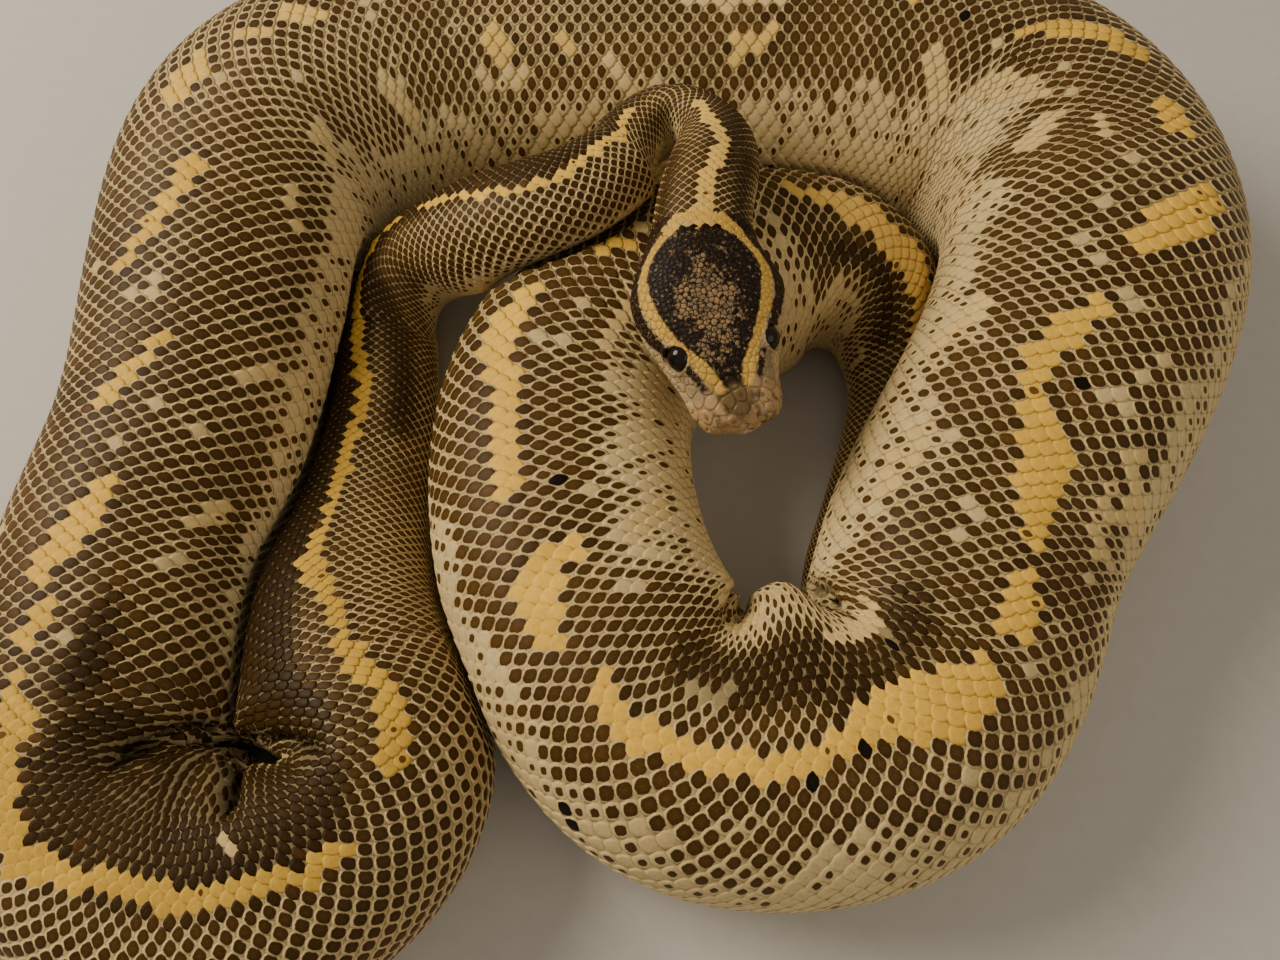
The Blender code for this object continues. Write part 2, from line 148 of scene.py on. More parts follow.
# Relief of the head in metres: height, how far from its place it lies, and width.
LIPS = (0.00030, 0.0013, 0.0010)
MOUTH_LINE = (-0.00075, 0.0, 0.00042)
EYE_RIM = (0.00032, 0.0007, 0.0006)
EYE_GROOVE = (-0.00018, 0.0021, 0.0007)
BROW = (0.00035, 0.0, 0.0026)
BROW_SHARES = (1.0, 0.55, 1.0)  # of the distance each way, for a brow longer along the head
EYE_HOLLOW = (-0.00050, 0.0, 0.0026)
NOSTRIL_RIM = (0.00030, 0.0012, 0.0006)
NOSTRIL_HOLE = (-0.00110, 0.0, 0.00055)
HEAT_PIT = (-0.00055, 0.0, 0.00048)
HEAT_PITS = 5  # on each side
HEAT_PIT_FROM = 0.0022  # behind the snout
HEAT_PIT_STEP = 0.0024
EYE_OPENING = 0.00225
SOCKET_EDGE = 0.00055
SOCKET_DEPTH = 0.0016
# Places on each side of the head: behind the snout, out and up.
BROW_PLACE = (EYE_BACK - 0.0040, 0.0066, 0.0062)
HOLLOW_PLACE = (EYE_BACK - 0.0075, 0.0100, 0.0020)
NOSTRIL_PLACE = (0.0021, 0.0047, 0.0021)
GAZE = (0.24, 0.90, 0.36)  # how much an eye looks ahead, out and up

# -------------------------------------------------------------------- curves and tables


def smoothstep(x):
    x = np.clip(x, 0, 1)
    return x * x * (3 - 2 * x)


def window(x, start, end, ease_in, ease_out):
    """0 up to start, rising to 1 over ease_in, and back to 0 at end over ease_out."""
    return smoothstep((x - start) / ease_in) * smoothstep((end - x) / ease_out)


def relief(gap, height, middle, width):
    """A smooth ridge where the gap is middle, or a hollow if its height is negative."""
    return height * np.exp(-(((gap - middle) / width) ** 2))


def dot(first, second):
    return np.einsum("...i,...i", first, second)


def unit(vector):
    return vector / np.linalg.norm(vector)


def from_table(rows, at, scale=1.0):
    """Straight-line lookup of a table's second column by its first."""
    table = np.array(rows)
    return np.interp(at, table[:, 0], table[:, 1] * scale)


def profile(rows, column, at):
    """Cubic through one column of a table that never overshoots between its rows."""
    table = np.array(rows)
    knots, values = table[:, 0], table[:, column]
    step = np.diff(knots)
    slope = np.diff(values) / step
    both = slope[1:] * slope[:-1]
    total = np.where(both > 0, slope[1:] + slope[:-1], 1)
    tangent = np.concatenate([slope[:1], np.where(both > 0, 2 * both / total, 0), slope[-1:]])
    at = np.clip(at, knots[0], knots[-1])
    cell = np.clip(np.searchsorted(knots, at, side="right") - 1, 0, len(step) - 1)
    t = (at - knots[cell]) / step[cell]
    eased = t * t * (3 - 2 * t)
    start = (t**3 - 2 * t**2 + t) * step[cell] * tangent[cell]
    end = (t**3 - t**2) * step[cell] * tangent[cell + 1]
    return values[cell] * (1 - eased) + values[cell + 1] * eased + start + end


def smooth_route(points, samples_per_leg=24):
    """Natural cubic spline through the points, as a dense line."""
    points = np.array(points)
    count = len(points)
    step = np.linalg.norm(np.diff(points, axis=0), axis=1)
    knots = np.concatenate([[0], np.cumsum(step)])
    matrix = np.eye(count)
    change = np.zeros_like(points)
    slope = np.diff(points, axis=0) / step[:, None]
    for i in range(1, count - 1):
        matrix[i, i - 1 : i + 2] = step[i - 1], 2 * (step[i - 1] + step[i]), step[i]
        change[i] = 6 * (slope[i] - slope[i - 1])
    bend = np.linalg.solve(matrix, change)
    at = np.linspace(0, knots[-1], count * samples_per_leg)
    cell = np.clip(np.searchsorted(knots, at, side="right") - 1, 0, count - 2)
    width = step[cell][:, None]
    b = (at - knots[cell])[:, None] / width
    a = 1 - b
    straight = a * points[cell] + b * points[cell + 1]
    return straight + ((a**3 - a) * bend[cell] + (b**3 - b) * bend[cell + 1]) * width**2 / 6


def moving_mean(values, reach):
    padded = np.pad(values, reach, mode="edge")
    return np.convolve(padded, np.ones(2 * reach + 1) / (2 * reach + 1), mode="valid")


def moving_peak(values, reach):
    padded = np.pad(values, reach, mode="edge")
    return np.max([padded[i : i + len(values)] for i in range(2 * reach + 1)], axis=0)


# ------------------------------------------------------------------ the CAD's own shape


class Axis:
    """The body's axis: place, directions, section sizes and bend at every distance."""

    def __init__(self):
        line = smooth_route(ROUTE)
        along = np.concatenate([[0], np.cumsum(np.linalg.norm(np.diff(line, axis=0), axis=1))])
        nape = along[np.argmin(np.linalg.norm(line - np.array(ROUTE[1]), axis=1))]
        self.first = -nape
        self.last = along[-1] - nape
        count = int(round((self.last - self.first) / AXIS_STEP)) + 1
        self.s = np.linspace(self.first, self.last, count)
        plan = [np.interp(self.s + nape, along, line[:, i]) - COIL_CENTRE[i] for i in (0, 1)]
        self.sizes = self.section_sizes()
        height = profile(LIFT, 1, self.s) + BELLY_LEVEL * self.sizes[2]
        at_nape = np.interp(0, self.s, height)
        slope = HEAD_DROP / nape
        height = np.where(self.s < 0, at_nape + self.s * slope, height)
        height = np.where(profile(LIFT, 1, self.s) > ON_FLOOR, moving_mean(height, EASE), height)
        self.points = np.stack([*plan, height], 1)
        forward = -np.gradient(self.points, axis=0)
        self.forward = forward / np.linalg.norm(forward, axis=1, keepdims=True)
        side = np.cross((0.0, 0.0, 1.0), self.forward)
        self.side = side / np.linalg.norm(side, axis=1, keepdims=True)
        self.up = np.cross(self.forward, self.side)
        heading = np.unwrap(np.arctan2(self.forward[:, 1], self.forward[:, 0]))
        turn = -np.gradient(heading, self.s)
        self.turn = moving_mean(turn, EASE)
        self.tightest = moving_mean(moving_peak(np.abs(turn), PEAK), EASE)

    def section_sizes(self):
        behind = self.s - self.first
        neck = smoothstep((behind - HEAD_PROFILE[-1][0]) / (-self.first - HEAD_PROFILE[-1][0]))
        flat = smoothstep((self.s - FLATNESS_FROM) / (FLATNESS_TO - FLATNESS_FROM))
        flat *= smoothstep((self.last - self.s) / TAIL_LENGTH)
        flatness = NECK_FLATNESS + (TRUNK_FLATNESS - NECK_FLATNESS) * flat
        girth = profile(GIRTH, 1, self.s)
        body = girth, girth * flatness, girth * flatness
        head = [profile(HEAD_PROFILE, column, behind) for column in (1, 2, 3)]
        return [h * (1 - neck) + b * neck for h, b in zip(head, body)]

    def at(self, s, values):
        values = np.asarray(values)
        if values.ndim == 1:
            return np.interp(s, self.s, values)
        return np.stack([np.interp(s, self.s, column) for column in values.T], 1)


def outline(axis, s, angles):
    """Sideways and upward offsets of the section at each distance s and angle."""
    width, rise, drop = (axis.at(s, size)[:, None] for size in axis.sizes)
    turn = axis.at(s, axis.turn)[:, None]
    power = 2 / ROUNDNESS
    sine, cosine = np.sin(angles)[None], np.cos(angles)[None]
    across = np.sign(sine) * np.abs(sine) ** power * np.ones_like(width)
    upward = np.sign(cosine) * np.abs(cosine) ** power * np.ones_like(width)
    upward = np.maximum(upward, -BELLY_LEVEL)
    bulge = np.ones_like(across)
    inner = np.abs(angles)[None] * np.where(np.sign(sine) == np.sign(turn), 1, -1)
    shoulder = relief(inner, BULGE_RISE, BULGE_ANGLE, BULGE_SPREAD)
    for start, end in BULGES:
        share = np.clip((s - start) / (end - start), 0, 1)[:, None]
        bulge += np.sin(np.pi * share) * shoulder
    room = BEND_ROOM / np.maximum(axis.at(s, axis.tightest)[:, None], 1e-3)
    inside = np.sign(sine) == np.sign(turn)
    bulged = width * bulge
    squeezed = bulged / (1 + (bulged / room) ** BEND_EASE) ** (1 / BEND_EASE)
    reach = np.where(inside, squeezed, width) * (1 - SAG * upward)
    height = np.where(upward > 0, rise * bulge, drop)
    return across * reach, upward * height


def gauge(axis, points, own):
    """How far points lie inside other lengths: under 1 is inside. Also their radius there."""
    width, rise, drop = axis.sizes
    best = np.full(len(points), np.inf)
    radius = np.ones(len(points))
    own_width = np.interp(own, axis.s, width)
    for i in range(len(axis.s)):
        offset = points - axis.points[i]
        near = dot(offset, offset) < (REACH * width[i]) ** 2
        apart = SAME_LENGTH * np.maximum(own_width, width[i]) + SAME_MARGIN
        near &= np.abs(own - axis.s[i]) > apart
        if not near.any():
            continue
        offset = offset[near]
        upward = offset @ axis.up[i]
        high = upward / np.where(upward > 0, rise[i], drop[i])
        wide = (offset @ axis.side[i]) / (width[i] * (1 - SAG * np.clip(high, -1, 1)))
        far = (offset @ axis.forward[i]) / (LENS * width[i])
        size = sum(np.abs(part) ** ROUNDNESS for part in (high, wide, far)) ** (1 / ROUNDNESS)
        closer = size < best[near]
        chosen = np.flatnonzero(near)[closer]
        best[chosen] = size[closer]
        radius[chosen] = width[i]
    return best, radius


def pressed(axis, centres, points, own, gap):
    """Draws points back to their own axis until they're clear of the other lengths."""
    own_width = np.interp(own, axis.s, axis.sizes[0])

    def clearance(chosen, share):
        spot = centres[chosen] + share[:, None] * (points[chosen] - centres[chosen])
        size, radius = gauge(axis, spot, own[chosen])
        margin = gap / 2 * (1 / own_width[chosen] + 1 / radius)
        return size - share - margin

    everything = np.arange(len(points))
    tight = everything[clearance(everything, np.ones(len(points))) < 0]
    low, high = np.zeros(len(tight)), np.ones(len(tight))
    for _ in range(HALVINGS):
        middle = (low + high) / 2
        free = clearance(tight, middle) > 0
        low = np.where(free, middle, low)
        high = np.where(free, high, middle)
    result = points.copy()
    result[tight] = centres[tight] + low[:, None] * (points[tight] - centres[tight])
    return result


def gathered(points):
    """Points drawn in towards the pits inside the tight bends, as seen from above."""
    plan = points[:, :2].copy()
    for x, y, push_x, push_y, reach in PUSHES:
        share = 1 - smoothstep(np.linalg.norm(plan - (x, y), axis=1) / reach)
        plan += share[:, None] * np.array((push_x, push_y))
    for x, y, pit, reach in PITS:
        offset = plan - (x, y)
        away = np.maximum(np.linalg.norm(offset, axis=1), pit)
        drawn = pit * (1 - smoothstep((away - pit) / (reach - pit)))
        plan -= offset * (drawn / away)[:, None]
    return np.column_stack([plan, points[:, 2]])


# -------------------------------------------------------------------------- small tools


def scatter(a, b, seed):
    """Steady pseudo-random numbers from 0 to 1 for pairs of whole numbers."""
    a = np.asarray(a).astype(np.int64)
    b = np.asarray(b).astype(np.int64)
    with np.errstate(over="ignore"):
        mixed = a * 374761393 + b * 668265263 + np.int64(seed) * 69069
        mixed = (mixed ^ (mixed >> 13)) * 1274126177
        mixed = mixed ^ (mixed >> 16)
    return (mixed & 0xFFFFFF) / 0xFFFFFF


def cloud(x, y, seed):
    """Smooth noise from 0 to 1 with features one unit across."""
    left, low = np.floor(x), np.floor(y)
    across, up = smoothstep(x - left), smoothstep(y - low)
    corner = [[scatter(left + i, low + j, seed) for j in (0, 1)] for i in (0, 1)]
    near = corner[0][0] * (1 - across) + corner[1][0] * across
    far = corner[0][1] * (1 - across) + corner[1][1] * across
    return near * (1 - up) + far * up


def blend_colour(first, second, share):
    return first + (second - first) * share[..., None]


def dimmed(colour, share):
    return colour * share[..., None]


def bilinear(grid, row, column):
    """Values of a grid between its rows and columns."""
    low = np.clip(np.floor(row).astype(int), 0, grid.shape[0] - 2)
    left = np.clip(np.floor(column).astype(int), 0, grid.shape[1] - 2)
    up, over = row - low, column - left
    if grid.ndim == 3:
        up, over = up[..., None], over[..., None]
    near = grid[low, left] * (1 - over) + grid[low, left + 1] * over
    far = grid[low + 1, left] * (1 - over) + grid[low + 1, left + 1] * over
    return near * (1 - up) + far * up


def fan(tip, ring):
    """Triangles from one point to every side of a ring."""
    return np.stack([np.full(len(ring), tip), ring, np.roll(ring, -1)], axis=1)


def band(first, second):
    """Four-sided faces between two rings."""
    return np.stack([first, second, np.roll(second, -1), np.roll(first, -1)], axis=1)


def tube(rows, columns):
    """Four-sided faces of a tube whose points are numbered ring by ring."""
    number = np.arange(rows * columns).reshape(rows, columns)
    ahead = np.roll(number, -1, axis=1)
    return np.stack([number[:-1], ahead[:-1], ahead[1:], number[1:]], axis=-1).reshape(-1, 4)


def dome(sides):
    """Faces of a closed dome: a middle point, then its shoulder, its rim and its foot."""
    shoulder, rim, foot = (1 + k * sides + np.arange(sides) for k in range(3))
    return [fan(0, shoulder), band(shoulder, rim), band(rim, foot), foot[None, ::-1]]


def copies(faces, count, per):
    """The faces of one small shape of so many points, for so many of them in a row."""
    offset = (np.arange(count) * per)[:, None, None]
    return [(group[None] + offset).reshape(-1, group.shape[1]) for group in faces]


def solid_mesh(name, points, faces, material, attributes, bake=None):
    """An object from arrays: faces is one array or a list of arrays of corner numbers."""
    groups = faces if isinstance(faces, list) else [faces]
    mesh = bpy.data.meshes.new(name)
    corners = np.concatenate([group.ravel() for group in groups]).astype(np.int32)
    sizes = np.concatenate([np.full(len(group), group.shape[1]) for group in groups])
    starts = np.concatenate([[0], np.cumsum(sizes)[:-1]]).astype(np.int32)
    mesh.vertices.add(len(points))
    mesh.loops.add(len(corners))
    mesh.polygons.add(len(sizes))
    mesh.vertices.foreach_set("co", points.astype(np.float32).ravel())
    mesh.loops.foreach_set("vertex_index", corners)
    mesh.polygons.foreach_set("loop_start", starts)
    mesh.update(calc_edges=True)
    mesh.shade_smooth()
    for key, values in attributes.items():
        layer = mesh.attributes.new(key, "FLOAT_VECTOR", "POINT")
        layer.data.foreach_set("vector", values.astype(np.float32).ravel())
    if bake is not None:
        layer = mesh.uv_layers.new(name="OFBake")
        spots = bake[corners] if len(bake) == len(points) else bake
        layer.data.foreach_set("uv", spots.astype(np.float32).ravel())
    mesh.materials.append(material)
    piece = bpy.data.objects.new(name, mesh)
    bpy.context.scene.collection.objects.link(piece)
    return piece


# ------------------------------------------------------------------------- the markings

# Linear colours of the skin and scales.
PALE = np.array((0.60, 0.455, 0.215))
BELLY = np.array((0.67, 0.54, 0.30))
GOLD = np.array((0.735, 0.440, 0.068))
BROWN = np.array((0.062, 0.031, 0.0068))
DARKEST = np.array((0.010, 0.006, 0.004))
RUST = np.array((0.22, 0.085, 0.018))
GOLD_EDGE = DARKEST * np.array((2.0, 1.4, 0.6))  # dark marks beside the gold
FIELD_TINT = np.array((0.82, 0.78, 0.74))  # the ground in the brown field, of its colour elsewhere

MARK_SIZE = 0.705  # share of a scale that its dark mark fills
MARK_MARGIN = 0.01  # m beyond a mark's ends that still count as near it
FIELD_EDGE = 8  # mm over which the brown field ends
SPOT_FADE = 13.0  # mm below the brown field over which the spots thin out
SPOTS_TO = 0.70  # beyond this u there are no spots
# How many scales have a dark mark: just below the field, on pale islands and on gold.
SPOT_ODDS = 0.80
PALE_ODDS = 0.16
GOLD_ODDS = 0.025
BLACK_SPOT_REACH = 1.5  # mm

# Stretches of the body, as start, end and the ease at each, in metres behind the nape.
WIDE_SPOTS = (0.700, 0.835, 0.020, 0.020)  # spots go further down the left flank
DASHED = (0.848, 0.904, 0.008, 0.008)  # smaller marks on the front bend's inner lobe
DARK_GOLD = (0.110, 0.350, 0.040, 0.020)
# Changes to MARK_SIZE: how much, on which stretch, and from which u over how much of it.
MARK_CHANGES = (
    (-0.090, (0.440, 0.620, 0.040, 0.040), -2.0, 1.0),
    (-0.055, (0.175, 0.350, 0.030, 0.020), -0.06, -0.08),
    # The third row makes the marks fuller on the inner side of the neck and the first tight coil, a
    # painted shade there.
    (0.060, (0.130, 0.350, 0.020, 0.020), 0.02, 0.08),
)
# How far the gold is washed out towards the pale colour, by distance.
GOLD_WASH = (
    (0.03, 0.28), (0.09, 0.0), (0.45, 0.0), (0.49, 0.38), (0.62, 0.38), (0.66, 0.0), (1.03, 0.0),
    (1.06, 0.25),
)

# How far the brown field reaches down each flank: distance, right flank, left flank.
BROWN_REACH = (
    (0.0, 0.46, 0.42), (0.03, 0.4, 0.46), (0.08, 0.46, 0.44), (0.12, 0.5, 0.42), (0.16, 0.5, 0.42),
    (0.2, 0.5, 0.46), (0.235, 0.52, 0.46), (0.262, 0.55, 0.52), (0.312, 0.52, 0.52),
    (0.345, 0.45, 0.37), (0.39, 0.45, 0.37), (0.425, 0.45, 0.32), (0.46, 0.45, 0.31),
    (0.47, 0.44, 0.27), (0.488, 0.44, 0.36), (0.5, 0.44, 0.36), (0.51, 0.44, 0.3),
    (0.53, 0.42, 0.33), (0.56, 0.42, 0.3), (0.6, 0.42, 0.28), (0.64, 0.42, 0.27),
    (0.67, 0.42, 0.24), (0.68, 0.42, 0.18), (0.697, 0.42, 0.17), (0.708, 0.38, 0.27),
    (0.725, 0.34, 0.33), (0.735, 0.29, 0.27), (0.75, 0.26, 0.27), (0.765, 0.25, 0.27),
    (0.775, 0.25, 0.21), (0.79, 0.27, 0.27), (0.803, 0.27, 0.18), (0.815, 0.28, 0.2),
    (0.825, 0.29, 0.34), (0.835, 0.29, 0.36), (0.845, 0.28, 0.4), (0.86, 0.26, 0.42),
    (0.88, 0.26, 0.42), (0.9, 0.27, 0.38), (0.912, 0.27, 0.27), (0.92, 0.27, 0.18),
    (0.93, 0.28, 0.1), (0.945, 0.28, 0.13), (0.955, 0.36, 0.12), (0.965, 0.45, 0.12),
    (0.975, 0.45, 0.12), (0.985, 0.45, 0.09), (1.0, 0.3, 0.1), (1.035, 0.45, 0.09),
    (1.045, 0.46, 0.11), (1.055, 0.46, 0.3), (1.065, 0.48, 0.25), (1.075, 0.5, 0.33),
    (1.157, 0.55, 0.55),
)

# Golden marks: each is a line of (distance, u, half width in mm).
GOLD_MARKS = (
    ((-0.004, -0.02, 2.3), (0.008, 0.03, 1.6), (0.014, 0.04, 1.6), (0.021, -0.05, 1.7),
     (0.031, -0.13, 1.3)),
    ((0.048, -0.04, 0.9), (0.055, -0.01, 1.2), (0.061, 0.03, 1.2), (0.068, -0.02, 1.2),
     (0.075, -0.06, 1.1), (0.082, -0.05, 1.1), (0.092, 0.0, 1.5), (0.101, 0.035, 0.8)),
    ((0.108, 0.04, 0.9), (0.122, 0.1, 1.7), (0.136, 0.095, 1.8), (0.152, 0.025, 1.8),
     (0.162, 0.033, 1.3), (0.171, 0.037, 1.8), (0.179, 0.045, 1.6), (0.187, 0.034, 1.5),
     (0.195, 0.032, 1.8), (0.2, 0.045, 2.3), (0.204, 0.028, 2.4), (0.209, -0.02, 1.9),
     (0.215, -0.047, 1.9), (0.223, -0.052, 1.9), (0.229, -0.035, 2.3), (0.2385, -0.031, 2.5),
     (0.2425, -0.028, 2.0)),
    ((0.2555, -0.053, 1.9), (0.26, -0.06, 1.9), (0.264, -0.045, 2.2), (0.268, -0.035, 2.4),
     (0.276, -0.042, 2.2), (0.284, -0.014, 1.9), (0.29, -0.02, 1.9), (0.296, -0.03, 2.4),
     (0.3, -0.048, 3.0), (0.304, -0.075, 3.4), (0.308, -0.053, 2.4), (0.312, -0.036, 2.1),
     (0.316, -0.015, 2.1), (0.3205, 0.0, 2.4), (0.3245, -0.006, 2.8), (0.3285, -0.045, 2.4),
     (0.332, -0.068, 1.4)),
    ((0.339, -0.065, 2.4), (0.3445, -0.048, 2.4)),
    ((0.353, -0.06, 2.4), (0.3587, -0.031, 4.0), (0.3627, -0.008, 3.4), (0.3667, 0.017, 3.0),
     (0.3705, 0.018, 2.2)),
    ((0.39, -0.075, 2.2), (0.398, -0.03, 2.2), (0.407, 0.02, 1.6)),
    ((0.424, -0.12, 1.8), (0.434, -0.065, 2.3), (0.4445, -0.015, 3.0), (0.4505, 0.0, 2.4)),
    ((0.468, -0.09, 3.6), (0.473, -0.08, 3.6)),
    ((0.485, -0.04, 2.6), (0.487, -0.01, 2.2)),
    ((0.495, -0.03, 3.2), (0.5, 0.02, 2.0)),
    ((0.522, -0.06, 2.6), (0.53, -0.02, 3.4), (0.537, 0.03, 2.0)),
    ((0.543, 0.17, 3.3), (0.547, 0.19, 3.2)),
    ((0.56, 0.16, 1.9), (0.562, 0.2, 1.4)),
    ((0.566, -0.05, 3.0), (0.582, -0.1, 3.6)),
    ((0.604, 0.19, 3.0), (0.609, 0.17, 3.0), (0.612, 0.13, 1.9)),
    ((0.628, -0.05, 3.2), (0.64, 0.0, 3.6), (0.648, 0.04, 2.0)),
    ((0.675, 0.06, 1.7), (0.683, 0.01, 2.5), (0.69, -0.08, 3.3), (0.6965, -0.11, 3.4)),
    ((0.7149, -0.095, 3.4), (0.7189, -0.09, 3.3)),
    ((0.735, -0.14, 3.6), (0.739, -0.119, 4.4), (0.743, -0.055, 4.4), (0.747, -0.032, 3.2),
     (0.75, -0.03, 1.4)),
    ((0.764, 0.02, 2.2), (0.7692, 0.041, 2.9), (0.7732, 0.059, 3.4), (0.7772, 0.075, 3.0),
     (0.7812, 0.064, 2.4), (0.7852, 0.043, 2.6), (0.7892, 0.007, 4.2), (0.7932, -0.024, 4.9),
     (0.7972, -0.036, 4.8), (0.8012, -0.039, 4.2), (0.8052, -0.049, 3.4), (0.8092, -0.058, 3.0),
     (0.8132, -0.069, 2.0)),
    ((0.8215, -0.056, 2.8), (0.8255, -0.083, 3.6), (0.829, -0.081, 3.4)),
    ((0.908, -0.066, 1.7), (0.9045, -0.062, 2.4), (0.9005, -0.057, 2.6), (0.8965, -0.04, 2.4),
     (0.8925, -0.038, 2.2), (0.8885, -0.04, 2.3), (0.8845, -0.056, 2.4), (0.8805, -0.067, 2.3),
     (0.8765, -0.066, 2.0), (0.8725, -0.06, 2.0), (0.8685, -0.044, 2.6), (0.8645, -0.01, 3.6),
     (0.8605, 0.012, 4.2), (0.8565, 0.01, 5.2), (0.8525, -0.013, 6.4), (0.8485, -0.036, 6.2),
     (0.8445, -0.041, 4.6), (0.8412, -0.035, 3.0)),
    ((0.921, -0.13, 2.6), (0.926, -0.12, 4.2), (0.931, -0.1, 4.4)),
    ((0.932, -0.12, 3.0), (0.9335, -0.01, 2.8)),
    ((0.948, -0.119, 2.2), (0.9544, -0.117, 3.2), (0.962, -0.11, 3.2), (0.97, -0.117, 2.9),
     (0.9759, -0.144, 3.3), (0.9799, -0.168, 3.4), (0.984, -0.172, 4.0), (0.988, -0.14, 3.8)),
    ((1.006, -0.07, 1.4), (1.012, -0.02, 1.6)),
    ((1.0505, -0.078, 2.4), (1.0584, -0.053, 3.9), (1.0624, -0.033, 4.3), (1.0664, -0.007, 4.5),
     (1.0704, 0.012, 4.8), (1.0744, 0.002, 4.8), (1.0784, -0.026, 4.4), (1.084, -0.045, 3.2),
     (1.1, -0.05, 1.8), (1.135, 0.0, 1.1)),
)
# Pale islands in the brown field, in the same way.
PALE_MARKS = (
    ((0.2655, 0.035, 0.6), (0.2685, 0.07, 0.8)),
    ((0.367, 0.24, 1.8), (0.374, 0.3, 2.2)),
    ((0.402, 0.24, 1.4), (0.406, 0.3, 1.4)),
    ((0.44, 0.26, 1.6), (0.452, 0.22, 1.4)),
    ((0.466, 0.3, 2.8), (0.475, 0.25, 2.8)),
    ((0.507, 0.24, 2.6), (0.513, 0.3, 3.0)),
    ((0.545, 0.27, 2.4), (0.552, 0.23, 2.0)),
    ((0.574, 0.22, 2.0), (0.578, 0.28, 3.4)),
    ((0.586, 0.03, 2.4), (0.596, 0.07, 2.6), (0.615, 0.05, 2.4)),
    ((0.655, 0.16, 2.2), (0.664, 0.24, 3.4)),
    ((0.676, 0.22, 3.0), (0.686, 0.19, 4.2), (0.699, 0.14, 3.0)),
    ((0.712, 0.16, 3.4), (0.722, 0.22, 3.4)),
    ((0.785, -0.2, 2.4), (0.795, -0.27, 3.0)),
    ((0.795, -0.18, 2.2), (0.808, -0.22, 2.6)),
    ((0.77, 0.24, 3.0), (0.779, 0.3, 3.4)),
    ((0.8, 0.21, 2.8), (0.808, 0.26, 3.2)),
    ((0.717, 0.067, 1.6), (0.725, 0.078, 1.6)),
    ((0.8426, 0.237, 1.8), (0.8505, 0.214, 3.2), (0.8586, 0.208, 3.0), (0.8626, 0.19, 2.4)),
    ((0.983, 0.095, 1.6), (0.995, 0.092, 1.8)),
    ((0.898, 0.3, 2.4), (0.885, 0.33, 2.4)),
    ((0.933, 0.13, 3.0), (0.938, 0.22, 3.4)),
    ((1.01, 0.12, 2.6), (1.022, 0.14, 3.0)),
)
# Where the field is nearly solid and dark, in the same way. The two short strokes at the nape are
# the pattern's own dark field beside the head's dark bands; the others are painted shade inside the
# two tight coils, along the neck and under the back of the head.
DARK_FIELD_AND_SHADE = (
    ((0.25, 0.22, 9.0), (0.285, 0.2, 14.0), (0.318, 0.2, 9.0)),
    ((-0.004, 0.25, 1.5), (0.012, 0.25, 2.5)),
    ((-0.004, -0.3, 1.5), (0.012, -0.3, 2.0)),
    ((0.25, 0.2, 9.0), (0.262, 0.05, 9.0), (0.285, 0.1, 12.0), (0.31, 0.08, 9.0)),
    ((0.01, 0.1, 3.0), (0.05, 0.16, 4.0), (0.11, 0.15, 8.0), (0.2, 0.22, 9.0), (0.242, 0.27, 7.0)),
    ((0.12, -0.12, 4.0), (0.16, -0.2, 3.0)),
    ((0.333, 0.08, 4.0), (0.346, 0.1, 2.0)),
    ((0.835, 0.14, 5.0), (0.87, 0.12, 7.0), (0.9, 0.14, 5.0)),
    ((1.06, 0.16, 2.0), (1.09, 0.15, 2.0)),
)
# Single scales that are nearly black.
BLACK_SPOTS = (
    (0.9484, 0.003), (0.9036, -0.345), (0.9005, -0.365), (0.8739, -0.1), (0.8647, -0.06),
    (0.8498, 0.141), (0.7791, -0.026), (0.6606, 0.068),
)


def flat_line(line, half_girth_at):
    """A line of (distance, u) as places on the skin laid flat, in mm."""
    line = np.array(line)
    return np.stack([line[:, 0] * 1e3, line[:, 1] * half_girth_at(line[:, 0]) * 1e3], axis=1)


def from_leg(x, y, start, end):
    """The share of a straight leg at which each place is nearest, and the offset from there."""
    dx, dy = end - start
    share = ((x - start[0]) * dx + (y - start[1]) * dy) / max(dx * dx + dy * dy, 1e-9)
    share = np.clip(share, 0, 1)
    return share, x - start[0] - share * dx, y - start[1] - share * dy


def stroke_depth(s, sideways, half_girth_at, marks):
    """How far inside the marks each place is, in mm, and outside them if negative."""
    best = np.full(s.shape, -FAR)
    for mark in marks:
        line, reach = flat_line(mark, half_girth_at), np.array(mark)[:, 2]
        ends = [row[0] for row in mark]
        near = (s > min(ends) - MARK_MARGIN) & (s < max(ends) + MARK_MARGIN)
        if not near.any():
            continue
        x, y = s[near] * 1e3, sideways[near] * 1e3
        found = np.full(x.shape, -FAR)
        for i in range(len(line) - 1):
            share, along, across = from_leg(x, y, line[i], line[i + 1])
            depth = reach[i] + share * (reach[i + 1] - reach[i]) - np.hypot(along, across)
            found = np.maximum(found, depth)
        best[near] = np.maximum(best[near], found)
    return best


